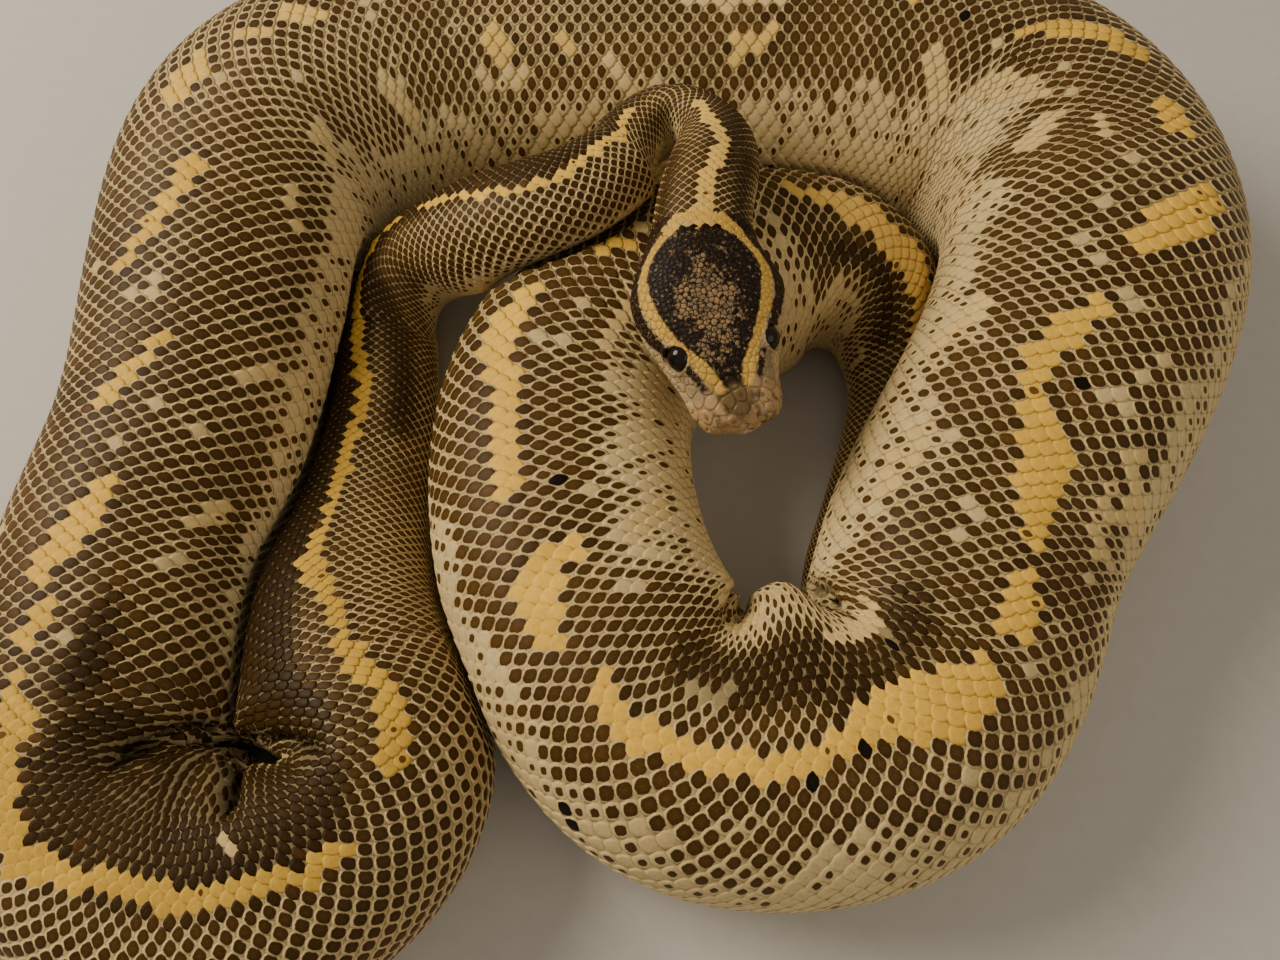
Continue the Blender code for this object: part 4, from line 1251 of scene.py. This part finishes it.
    def bake_map(self):
        """The skin laid out in strips of equal length, and its two end caps in a corner each."""
        rows, columns = len(self.s), SKIN_COLUMNS
        span = (self.s[-1] - self.s[0]) / BAKE_STRIPS
        strip = ((self.s[:-1] + np.diff(self.s) / 2 - self.s[0]) / span).astype(int)
        uv = np.empty((rows - 1, columns, 4, 2))
        for corner, (di, dj) in enumerate(((0, 0), (0, 1), (1, 1), (1, 0))):
            place = (self.s[np.arange(rows - 1) + di] - self.s[0]) / span - strip
            turn = (np.arange(columns) + dj)[None] / columns
            uv[:, :, corner, 0] = (0.02 + 0.96 * place)[:, None]
            uv[:, :, corner, 1] = (strip[:, None] + 0.03 + 0.94 * turn) / BAKE_STRIPS
        caps = np.empty((2, columns, 3, 2))
        for k, base in enumerate((0.004, 0.984)):
            caps[k, :] = ((base + 0.004, base), (base, base + 0.004), (base + 0.008, base + 0.008))
        return np.concatenate([uv.reshape(-1, 2), caps.reshape(-1, 2)])


# --------------------------------------------------------------------------- the scales

VENTRAL_FROM = 0.84  # beyond this u the belly has wide cross plates
# Step between the rows of scales at the middle of the back, in mm, by distance behind the nape.
ROW_PITCHES = (
    (-0.01, 1.2), (0.01, 1.25), (0.03, 1.05), (0.06, 1.22), (0.09, 1.38), (0.12, 1.3),
    (0.15, 1.38), (0.18, 1.5), (0.2, 1.72), (0.225, 1.92), (0.26, 2.0), (0.3, 2.1), (0.35, 2.34),
    (0.4, 2.4), (0.89, 2.4), (0.92, 2.6), (0.95, 2.9), (1.03, 2.9), (1.05, 2.75), (1.07, 2.4),
    (1.09, 1.85), (1.11, 1.35), (1.13, 1.05), (1.15, 0.78), (1.17, 0.55),
)
ROW_WIDENING = 0.006  # how much wider each row is than the one above it, as a share
MOST_ROWS = 60  # on each side
# Half the step between the scales of one row, in mm, by distance behind the nape.
SCALE_STEPS = (
    (-0.01, 0.72), (0.0, 0.85), (0.03, 1.0), (0.09, 1.05), (0.15, 1.15), (0.205, 1.32),
    (0.23, 1.18), (0.31, 1.2), (0.345, 1.6), (0.4, 1.75), (0.54, 1.9), (0.65, 1.95), (0.74, 1.74),
    (0.83, 1.64), (0.862, 1.5), (0.905, 1.46), (0.935, 1.66), (1.03, 1.68), (1.066, 1.45),
    (1.096, 1.05), (1.13, 0.75), (1.16, 0.6),
)
# Half the length of a scale, in mm, in the same way.
SCALE_HALVES = (
    (-0.01, 0.95), (0.0, 1.15), (0.03, 1.3), (0.1, 1.45), (0.16, 1.62), (0.205, 2.0), (0.24, 2.2),
    (0.31, 2.2), (0.4, 2.25), (0.54, 2.35), (0.74, 2.35), (0.86, 2.35), (0.905, 2.35),
    (0.95, 2.35), (1.03, 2.25), (1.07, 1.9), (1.1, 1.4), (1.13, 1.0), (1.16, 0.75),
)
COAT_FROM = -0.0060
LAST_SCALE = 0.0012  # m from the tail's tip
SCALE_SIDES = 8
SCALE_WIDTH = 0.96  # half a scale's width, of the step between the rows
SCALE_ROUNDNESS = 1.5  # exponent of a scale's outline
SCALE_SHOULDER = 0.66  # how far out and how high the ring on its dome lies
SCALE_BASE = 0.00008
SCALE_TILT = 0.00019
SCALE_DOME = 0.00016
SCALE_SINK = 0.00034
FULL_HALF = 0.0023  # half the length of a scale with those heights
STRETCH_RANGE = (0.14, 4.0)  # length along the creased skin for each length of axis
LOOSE_RANGE = (0.30, 3.0)  # the same before the skin is creased
SEEN_RANGE = (0.40, 0.95)  # share of a scale that the next one leaves open
SMALLEST_SCALE = 0.00025  # smaller ones are left out
REST_OVERLAP = 0.74
PIECE_ENDS = (0.150, 0.300, 0.450, 0.590, 0.730, 0.870, 1.010, 1.200)
BELLY_FROM = -0.004
BELLY_STEP = 3.0  # of the half step between scales, from plate to plate
BELLY_GRID = (4, 12)
# Height of a belly plate: at its middle, more to the front, less to the sides, and its foot.
BELLY_LIFT = 0.00016
BELLY_TILT = 0.00012
BELLY_ARCH = 0.00010
BELLY_SINK = 0.0003


def scale_step(s):
    """Half the distance between the scales of one row, along the axis."""
    return from_table(SCALE_STEPS, s, 1e-3)


def scale_lattice(skin):
    """Of all scales of the back and flanks: s, u, step between the rows in u, and a number."""
    s, stations = COAT_FROM, []
    while s < skin.axis.last - LAST_SCALE:
        stations.append(s)
        s += float(scale_step(s))
    found = []
    number = np.arange(-MOST_ROWS, MOST_ROWS + 1)
    for index, s in enumerate(stations):
        middle = profile(ROW_PITCHES, 1, s) * 1e-3 / skin.half_girth_at(s)
        u = middle * number * (1 + ROW_WIDENING * np.abs(number))
        pitch = middle * (1 + 2 * ROW_WIDENING * np.abs(number))
        kept = ((number + index) % 2 == 0) & (np.abs(u) < VENTRAL_FROM - pitch * 0.3)
        cell = index * 131 + number[kept] + 65
        found.append(np.stack([np.full(kept.sum(), s), u[kept], pitch[kept], cell], axis=1))
    return np.concatenate(found)


def scale_template():
    """Of one scale's points: their places, how far up its dome, and which are at its foot."""
    turn = np.arange(SCALE_SIDES) * 2 * math.pi / SCALE_SIDES
    corner = np.stack([np.cos(turn), np.sin(turn)], axis=1)
    power = SCALE_ROUNDNESS
    corner *= (1 / (np.abs(corner) ** power).sum(axis=1) ** (1 / power))[:, None]
    shoulder = corner * SCALE_SHOULDER + (0.05, 0)
    places = np.concatenate([[[0.08, 0]], shoulder, corner, corner * 0.96])
    dome_share = np.repeat([1.0, SCALE_SHOULDER, 0.0], [1, SCALE_SIDES, 2 * SCALE_SIDES])
    foot = np.repeat([0.0, 1.0], [1 + 2 * SCALE_SIDES, SCALE_SIDES])
    return places, dome_share, foot


def add_scales(skin, material):
    """The scales of back and flanks as joined solid meshes, one for each stretch of body."""
    lattice = scale_lattice(skin)
    s, spread = skin.tuck(lattice[:, 0], lattice[:, 1])
    kept = ~np.isnan(s)
    s, spread, (rest, u, pitch, cell) = s[kept], spread[kept], lattice[kept].T
    cell = cell.astype(int)
    places, dome_share, foot = scale_template()
    ahead, aside = places.T
    stretch = np.clip(skin.look_up(skin.stretch, s, u), *STRETCH_RANGE)
    loose = np.clip(skin.look_up(skin.loose, s, u) * spread, *LOOSE_RANGE)
    half = from_table(SCALE_HALVES, rest, 1e-3) * np.clip(loose, 0.45, 1.0) ** 0.5
    overlap = scale_step(rest) * loose / half

    # their shape
    where_s = s[:, None] + (half / stretch)[:, None] * ahead
    where_u = u[:, None] + (pitch * SCALE_WIDTH)[:, None] * aside
    surface = skin.look_up(skin.points, where_s, where_u)
    normal = skin.look_up(skin.normals, where_s, where_u)
    normal /= np.maximum(np.linalg.norm(normal, axis=2, keepdims=True), 1e-9)
    size = (np.clip(half / FULL_HALF, 0.40, 1.1) * np.interp(s, skin.s, skin.taper()))[:, None]
    rise = SCALE_TILT * np.clip(REST_OVERLAP / overlap, 1.0, 1.7)[:, None]
    bulge = SCALE_DOME * np.clip(overlap / REST_OVERLAP, 0.35, 1.0)[:, None]
    height = size * (SCALE_BASE + rise * ahead + bulge * dome_share) - size * SCALE_SINK * foot
    points = surface + normal * height[..., None]
    middle = skin.look_up(skin.points, s, u)
    sound = np.linalg.norm(surface - middle[:, None], axis=2).max(axis=1) > SMALLEST_SCALE

    # their colours
    ground, mark, fill = body_markings(s, u, skin.half_girth_at, cell)
    on_head = 1 - smoothstep((s + 0.0034) / 0.0006)
    head, _ = head_markings(s, u, skin.half_girth_at, cell)
    # painted shade darkens the scales along the bottoms of the creases
    crease_shade_factor = 1 - CREASE_SHADE_DIM * np.clip(skin.look_up(skin.crease_shade, s, u), 0, 1)
    ground, mark = dimmed(blend_colour(ground, head, on_head), crease_shade_factor), dimmed(mark, crease_shade_factor)
    fill = np.where(on_head > 0.5, 0.0, fill)

    pieces, start = [], -1.0
    per = len(places)
    for number, end in enumerate(PIECE_ENDS, start=1):
        chosen = np.flatnonzero((s >= start) & (s < end) & sound)
        count, along = len(chosen), s[chosen]
        seen = np.clip(overlap[chosen], *SEEN_RANGE)[:, None]
        place = np.empty((count, per, 3))
        place[..., 0] = (ahead - 1 + seen) / seen
        place[..., 1] = aside * SCALE_WIDTH
        place[..., 2] = fill[chosen][:, None]
        attributes = {
            "place": place.reshape(-1, 3),
            "ground": np.repeat(ground[chosen], per, axis=0),
            "mark": np.repeat(mark[chosen], per, axis=0),
        }
        share = (along - along.min()) / (along.max() - along.min())
        root = np.stack([share * 0.97 + 0.015, u[chosen] * 0.57 + 0.5], axis=1)
        bake = (root[:, None] + BAKE_STEP * places).reshape(-1, 2)
        print(f"scales_{number}", count, "scales")
        pieces.append(solid_mesh(
            f"scales_{number}", points[chosen].reshape(-1, 3),
            copies(dome(SCALE_SIDES), count, per), material, attributes, bake,
        ))
        start = end
    return pieces


def add_belly_plates(skin, material):
    """Wide plates across the belly, each overlapping the next one back."""
    along, across = BELLY_GRID
    grid_x, grid_y = np.meshgrid(
        np.linspace(-1, 1, along + 1), np.linspace(-1, 1, across + 1), indexing="ij"
    )
    count = grid_x.size
    number = np.arange(count).reshape(grid_x.shape)
    rim = np.concatenate([number[0, :-1], number[:-1, -1], number[-1, :0:-1], number[:0:-1, 0]])
    foot = count + np.arange(len(rim))
    quads = np.stack([number[:-1, :-1], number[1:, :-1], number[1:, 1:], number[:-1, 1:]], axis=-1)
    wall = np.stack([rim, np.roll(rim, -1), np.roll(foot, -1), foot], axis=1)
    flat = np.stack([grid_x.ravel(), grid_y.ravel(), np.zeros(count)], axis=1)
    flat = np.concatenate([flat, flat[rim]])
    lift = (BELLY_LIFT + BELLY_TILT * grid_x - BELLY_ARCH * grid_y**2).ravel()
    points, bake = [], []
    s = BELLY_FROM
    while s < skin.axis.last - 0.004:
        step = float(scale_step(s)) * BELLY_STEP
        half = step * 0.56
        where_s = (s + half * grid_x * (1 - 0.10 * np.abs(grid_y) ** 4)).ravel()
        where_u = (1 + (1 - VENTRAL_FROM) * 1.06 * grid_y).ravel()
        where_u = (where_u + 1) % 2 - 1
        place = skin.look_up(skin.points, where_s, where_u)
        normal = skin.look_up(skin.normals, where_s, where_u)
        tall = lift * float(np.clip(skin.half_girth_at(s) / 0.05, 0.4, 1.0))
        points += [place + normal * tall[:, None], place[rim] - normal[rim] * BELLY_SINK]
        root = np.array(((s - skin.axis.first) / 1.21, 0.5))
        bake.append(root + flat[:, :2] * np.array((BAKE_STEP, 0.05)))
        s += step
    per, plates = len(flat), np.arange(len(bake))
    ground = BELLY * (0.92 + 0.16 * scatter(plates, plates, 41))[:, None]
    attributes = {
        "place": np.tile(flat, (len(plates), 1)),
        "ground": np.repeat(ground, per, axis=0),
        "mark": np.repeat(ground * 0.8, per, axis=0),
    }
    faces = copies([quads.reshape(-1, 4), wall, foot[None]], len(plates), per)
    return solid_mesh(
        "belly_plates", np.concatenate(points), faces, material, attributes, np.concatenate(bake)
    )


# -------------------------------------------------------------------- the head's plates

PLATE_GAP = 0.00005
PLATE_HEIGHT = 0.00008
PLATE_SINK = 0.00016
PLATE_SIDES = 14
PLATE_SHOULDER = 0.62
PLATE_REACH = 0.0021
NEIGHBOURS = 21  # plates that may bound one
# Spacing of the plates: on the snout, how much closer on the crown, and the least elsewhere.
SNOUT_SPACING = 0.0027
CROWN_CLOSER = 0.00172
CHEEK_SPACING = 0.00125
THROAT_SPACING = 0.0016
EYE_SPACING = 0.00095
EYE_REGION = 0.0048  # m from an eye's centre
CHEEK_FROM = 0.30  # u
THROAT_FROM = 0.62
HEAD_PLATES_END = -0.0062
# Rows above and below the mouth: level over it and distance of the first plate.
LIP_ROWS = ((0.00135, 0.0017), (-0.00135, 0.0022))
LIP_PLATES = 11
LIP_STEP = 0.0019
LIP_STEP_GROWTH = 0.00011
TIP_LEVELS = (0.0011, -0.0030)
SNOUT_PLATES = ((0.0026, 0.0031), (0.0056, 0.0046), (0.0092, 0.0056))  # distance and level
EYE_GRID = (28, 48)


def plate_seeds(skin):
    """Centres of the head's plates: the rows along the lips and snout first, then the rest.

    Gives their place, normal, s, u and distance behind the snout.
    """
    axis = skin.axis
    rows = skin.s < HEAD_PLATES_END + 0.002
    s = np.repeat(skin.s[rows], SKIN_COLUMNS)
    u = np.tile(skin.u[:-1], rows.sum())
    places, normals = (grid[rows][:, :-1].reshape(-1, 3) for grid in (skin.points, skin.normals))
    behind = s - axis.first
    centre, side, up = (axis.at(s, v) for v in (axis.points, axis.side, axis.up))
    rise, out = dot(places - centre, up), dot(places - centre, side)

    def nearest(back, level, sign):
        """The skin's place on one side at this distance behind the snout and this level."""
        score = np.abs(behind - back) + np.abs(rise - level) * 1.5 + (out * sign < 0)
        return int(np.argmin(score))

    chosen = []
    for sign in (-1, 1):
        for level, back in LIP_ROWS:
            for count in range(LIP_PLATES):
                chosen.append(nearest(back, level - MOUTH_DROP, sign))
                back += LIP_STEP + LIP_STEP_GROWTH * count
    tip = skin.points[0, :-1].mean(0)
    for level in TIP_LEVELS:
        chosen.append(int(np.argmin(np.linalg.norm(places - tip - axis.up[0] * level, axis=1))))
    chosen += [nearest(back, level, sign) for sign in (-1, 1) for back, level in SNOUT_PLATES]

    # the spacing wanted at each place
    spacing = SNOUT_SPACING - CROWN_CLOSER * smoothstep((behind - 0.0085) / 0.005)
    cheek, throat = (np.abs(u) > CHEEK_FROM) & (np.abs(u) < THROAT_FROM), np.abs(u) > THROAT_FROM
    spacing = np.where(cheek, np.maximum(spacing, CHEEK_SPACING), spacing)
    spacing = np.where(throat, np.maximum(spacing * 0.9, THROAT_SPACING), spacing)
    taken = np.zeros(len(s), bool)
    for sign in (-1, 1):
        away, ahead = skin.from_eye(places, sign)
        taken |= (away < EYE_OPENING + 0.00045) & ahead
        gap = np.linalg.norm(places - skin.eye(sign)[0], axis=1)
        spacing = np.where(gap < EYE_REGION, EYE_SPACING, spacing)
    for index in chosen:
        gap = np.linalg.norm(places - places[index], axis=1)
        taken |= gap < np.maximum(spacing[index], THROAT_SPACING) * 0.82

    # the rest fill what's left in a fixed random order
    everything = np.arange(len(s))
    for index in np.argsort(scatter(everything, everything // 5, 51)):
        if not taken[index]:
            chosen.append(int(index))
            taken |= np.linalg.norm(places - places[index], axis=1) < spacing[index] * 0.86
    return [values[chosen] for values in (places, normals, s, u, behind)]


def clipped(polygon, point, direction):
    """The part of a flat polygon that lies behind the line through point."""
    kept = []
    depth = (polygon - point) @ direction
    for i in range(len(polygon)):
        j = (i + 1) % len(polygon)
        if depth[i] <= 0:
            kept.append(polygon[i])
        if (depth[i] <= 0) != (depth[j] <= 0):
            share = depth[i] / (depth[i] - depth[j])
            kept.append(polygon[i] + share * (polygon[j] - polygon[i]))
    return np.array(kept)


def even_outline(polygon, count):
    """The polygon with its corners rounded, as evenly spaced points."""
    closed = np.concatenate([polygon, polygon[:1]])
    step = np.linalg.norm(np.diff(closed, axis=0), axis=1)
    length = np.concatenate([[0], np.cumsum(step)])
    at = np.linspace(0, length[-1], 3 * count, endpoint=False)
    fine = np.stack([np.interp(at, length, closed[:, k]) for k in (0, 1)], axis=1)
    return (sum(np.roll(fine, shift, axis=0) for shift in (0, 1, -1, 2, -2)) / 5)[::3]


def plate_outline(index, places, normals, basis, smooth, eyes):
    """The flat polygon nearer to one centre than to its neighbours, clear of the eyes."""
    centre, normal = places[index], normals[index]
    reach = PLATE_REACH
    polygon = np.array(((-reach, -reach), (reach, -reach), (reach, reach), (-reach, reach)))
    for other in np.argsort(np.linalg.norm(places - centre, axis=1))[1 : NEIGHBOURS + 1]:
        offset = places[other] - centre
        flat = basis @ offset
        size = np.linalg.norm(flat)
        if size < 1e-6 or normals[other] @ normal < -0.2:
            continue
        half = np.linalg.norm(offset) / 2 - PLATE_GAP * smooth**1.4
        polygon = clipped(polygon, flat / size * half, flat / size)
        if len(polygon) < 3:
            return polygon
    for eye, look in eyes:
        offset = centre - eye
        sideways = offset - (offset @ look) * look
        away = np.linalg.norm(sideways)
        flat = basis @ (-sideways / away)
        size = np.linalg.norm(flat)
        if offset @ look > 0 and away < 0.0045 and size > 0.3 and len(polygon) > 2:
            polygon = clipped(polygon, flat / size * (away - EYE_OPENING - 0.00012), flat / size)
    return polygon


def add_head_plates(skin, material):
    """Small domed plates on the head, each the patch of skin nearest to its centre."""
    places, normals, seed_s, seed_u, behind = plate_seeds(skin)
    grid = skin.points[skin.s < HEAD_END]
    faces = tube(len(grid), SKIN_COLUMNS)
    tree = BVHTree.FromPolygons(grid[:, :-1].reshape(-1, 3).tolist(), faces.tolist())
    eyes = [skin.eye(sign) for sign in (-1, 1)]
    smoothness = 1 - 0.60 * smoothstep((0.014 - behind) / 0.006)

    def on_skin(face, spot):
        """The (s, u) of a spot on one face of the head's skin."""
        i, j = divmod(face, SKIN_COLUMNS)
        corner = grid[i, j]
        along, across = grid[i + 1, j] - corner, grid[i, j + 1] - corner
        row = np.clip((spot - corner) @ along / max(along @ along, 1e-16), 0, 1)
        column = np.clip((spot - corner) @ across / max(across @ across, 1e-16), 0, 1)
        return skin.s[i] + row * (skin.s[i + 1] - skin.s[i]), skin.u[j] + column * 2 / SKIN_COLUMNS

    points, place, bake, marks_at, grains = [], [], [], [], []
    for index, (centre, normal) in enumerate(zip(places, normals)):
        first = np.cross(normal, (0.0, 0.0, 1.0))
        if np.linalg.norm(first) < 0.2:
            first = np.cross(normal, (1.0, 0.0, 0.0))
        first = unit(first)
        basis = np.stack([first, np.cross(normal, first)])
        smooth = float(smoothness[index])
        polygon = plate_outline(index, places, normals, basis, smooth, eyes)
        if len(polygon) < 3:
            continue
        line = even_outline(polygon, PLATE_SIDES)
        middle = line.mean(axis=0)
        rings = [middle + (line - middle) * share for share in (PLATE_SHOULDER, 1.0, 0.98)]
        wide = float(np.linalg.norm(line - middle, axis=1).mean())
        tall = PLATE_HEIGHT * min(wide / 0.0007, 1.1) * smooth
        flat = np.concatenate([middle[None], *rings])
        sizes = [1, PLATE_SIDES, PLATE_SIDES, PLATE_SIDES]
        lifts = np.repeat([tall, tall * 0.86, tall * 0.25, -PLATE_SINK], sizes)
        for spot, lift in zip(flat, lifts):
            guess = centre + spot @ basis
            hit, outward, face, _ = tree.find_nearest(Vector(guess), 0.004)
            if hit is None:
                hit, outward = guess, normal
            hit, outward = np.array(hit), np.array(outward)
            marks_at.append((seed_s[index], seed_u[index]) if face is None else on_skin(face, hit))
            points.append(hit + outward * (lift if outward @ normal > 0 else -lift))
        place.append(np.repeat([0.0, PLATE_SHOULDER, 1.0, 1.0], sizes))
        grains.append(np.full(len(flat), index))
        root = np.array(((seed_s[index] - skin.axis.first) / 0.040, seed_u[index] * 0.48 + 0.5))
        bake.append(np.clip(root, 0.01, 0.99) + (flat - middle) / max(wide, 1e-6) * BAKE_STEP)
    marks_s, marks_u = np.array(marks_at).T
    colours, tan = head_markings(marks_s, marks_u, skin.half_girth_at, np.concatenate(grains))
    from_middle = np.concatenate(place)
    own = np.stack([from_middle, np.zeros(len(tan)), tan], axis=1)
    faces = copies(dome(PLATE_SIDES), len(bake), 1 + 3 * PLATE_SIDES)
    print("head plates", len(bake))
    return solid_mesh("head_plates", np.array(points), faces, material,
                      {"place": own, "ground": colours}, np.concatenate(bake))


def add_eye(skin, name, sign, material):
    """A smooth eye in its socket, with its slit pupil across the line of sight."""
    centre, look = skin.eye(sign)
    rows, columns = EYE_GRID
    tall = np.linspace(0, math.pi, rows + 1)[1:-1, None, None]
    turn = (np.arange(columns) * 2 * math.pi / columns)[None, :, None]
    upright = unit(skin.axis.up[0] - (skin.axis.up[0] @ look) * look)
    level = np.cross(look, upright)
    body = np.cos(tall) * look + np.sin(tall) * (np.cos(turn) * level + np.sin(turn) * upright)
    ball = np.concatenate([look[None], body.reshape(-1, 3), -look[None]])
    rings = 1 + np.arange((rows - 1) * columns).reshape(rows - 1, columns)
    quads = np.concatenate([band(first, second) for first, second in zip(rings, rings[1:])])
    faces = [quads, fan(0, rings[0]), fan(len(ball) - 1, rings[-1])[:, [0, 2, 1]]]
    gaze = np.stack([ball @ level, ball @ upright, ball @ look], axis=1)
    return solid_mesh(name, centre + EYE_RADIUS * ball, faces, material, {"gaze": gaze})


# -------------------------------------------------------------- stage, light and camera

FLOOR_HALF = 1.6


def add_stage():
    corners = ((-1, -1, 0), (1, -1, 0), (1, 1, 0), (-1, 1, 0))
    points = FLOOR_HALF * np.array(corners)
    material, tree, shader = new_material("floor_paper", 0.8, 0.2)
    grain = noise(tree, 220.0, 4.0, position(tree))
    tone = mix_colour(tree, grain, (0.50, 0.47, 0.42, 1.0), (0.56, 0.53, 0.48, 1.0))
    feed(tree, shader.inputs["Base Color"], tone)
    floor = solid_mesh("floor", points, np.array(((0, 1, 2, 3),)), material, {})


def add_light(name, place, target, size, watts, colour):
    data = bpy.data.lights.new(name, "AREA")
    data.shape = "DISK"
    data.size = size
    data.energy = watts
    data.color = colour
    lamp = bpy.data.objects.new(name, data)
    lamp.location = place
    lamp.rotation_euler = (Vector(target) - Vector(place)).to_track_quat("-Z", "Y").to_euler()
    bpy.context.scene.collection.objects.link(lamp)


def add_lights():
    add_light("window", (-0.72, 0.22, 0.62), (0, 0, 0), 0.55, 10.5, (1.0, 0.90, 0.75))
    add_light("fill", (0.7, -0.5, 0.7), (0, 0, 0), 0.9, 2.2, (1.0, 0.88, 0.72))
    world = bpy.data.worlds.new("studio")
    world.use_nodes = True
    background = world.node_tree.nodes["Background"]
    background.inputs["Color"].default_value = (1.0, 0.93, 0.82, 1.0)
    background.inputs["Strength"].default_value = 0.34
    bpy.context.scene.world = world


CAMERA_TARGET = (-COIL_CENTRE[0], -COIL_CENTRE[1], 0.0276)
CAMERA_DISTANCE = 0.225
CAMERA_ELEVATION = math.radians(65)
CAMERA_FIELD = math.radians(65)


def add_camera():
    data = bpy.data.cameras.new("camera")
    data.sensor_width = 36.0
    data.lens = data.sensor_width / 2 / math.tan(CAMERA_FIELD / 2)
    data.clip_start = 0.005
    camera = bpy.data.objects.new("camera", data)
    target = Vector(CAMERA_TARGET)
    away = Vector((0.0, -math.cos(CAMERA_ELEVATION), math.sin(CAMERA_ELEVATION)))
    camera.location = target + CAMERA_DISTANCE * away
    camera.rotation_euler = (-away).to_track_quat("-Z", "Y").to_euler()
    bpy.context.scene.collection.objects.link(camera)
    bpy.context.scene.camera = camera


# ----------------------------------------------------------------------------- assembly

FLESH = ["head", "lower_jaw", "neck", *(f"trunk_{i}" for i in range(1, 9)), "tail"]


def main():
    skin = Skin(Axis())
    coat = scale_material()
    body = skin.build(skin_material())
    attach(body, "root")
    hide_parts(*FLESH)
    for piece in add_scales(skin, coat):
        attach(piece, "root")
    belly = add_belly_plates(skin, coat)
    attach(belly, "root")
    plates = add_head_plates(skin, plate_material())
    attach(plates, "root")
    look = eye_material()
    for name, sign in (("left", 1), ("right", -1)):
        eye = add_eye(skin, "eyeball_" + name, sign, look)
        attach(eye, "root")
        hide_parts("eye_" + name)
    add_stage()
    add_lights()
    add_camera()


main()
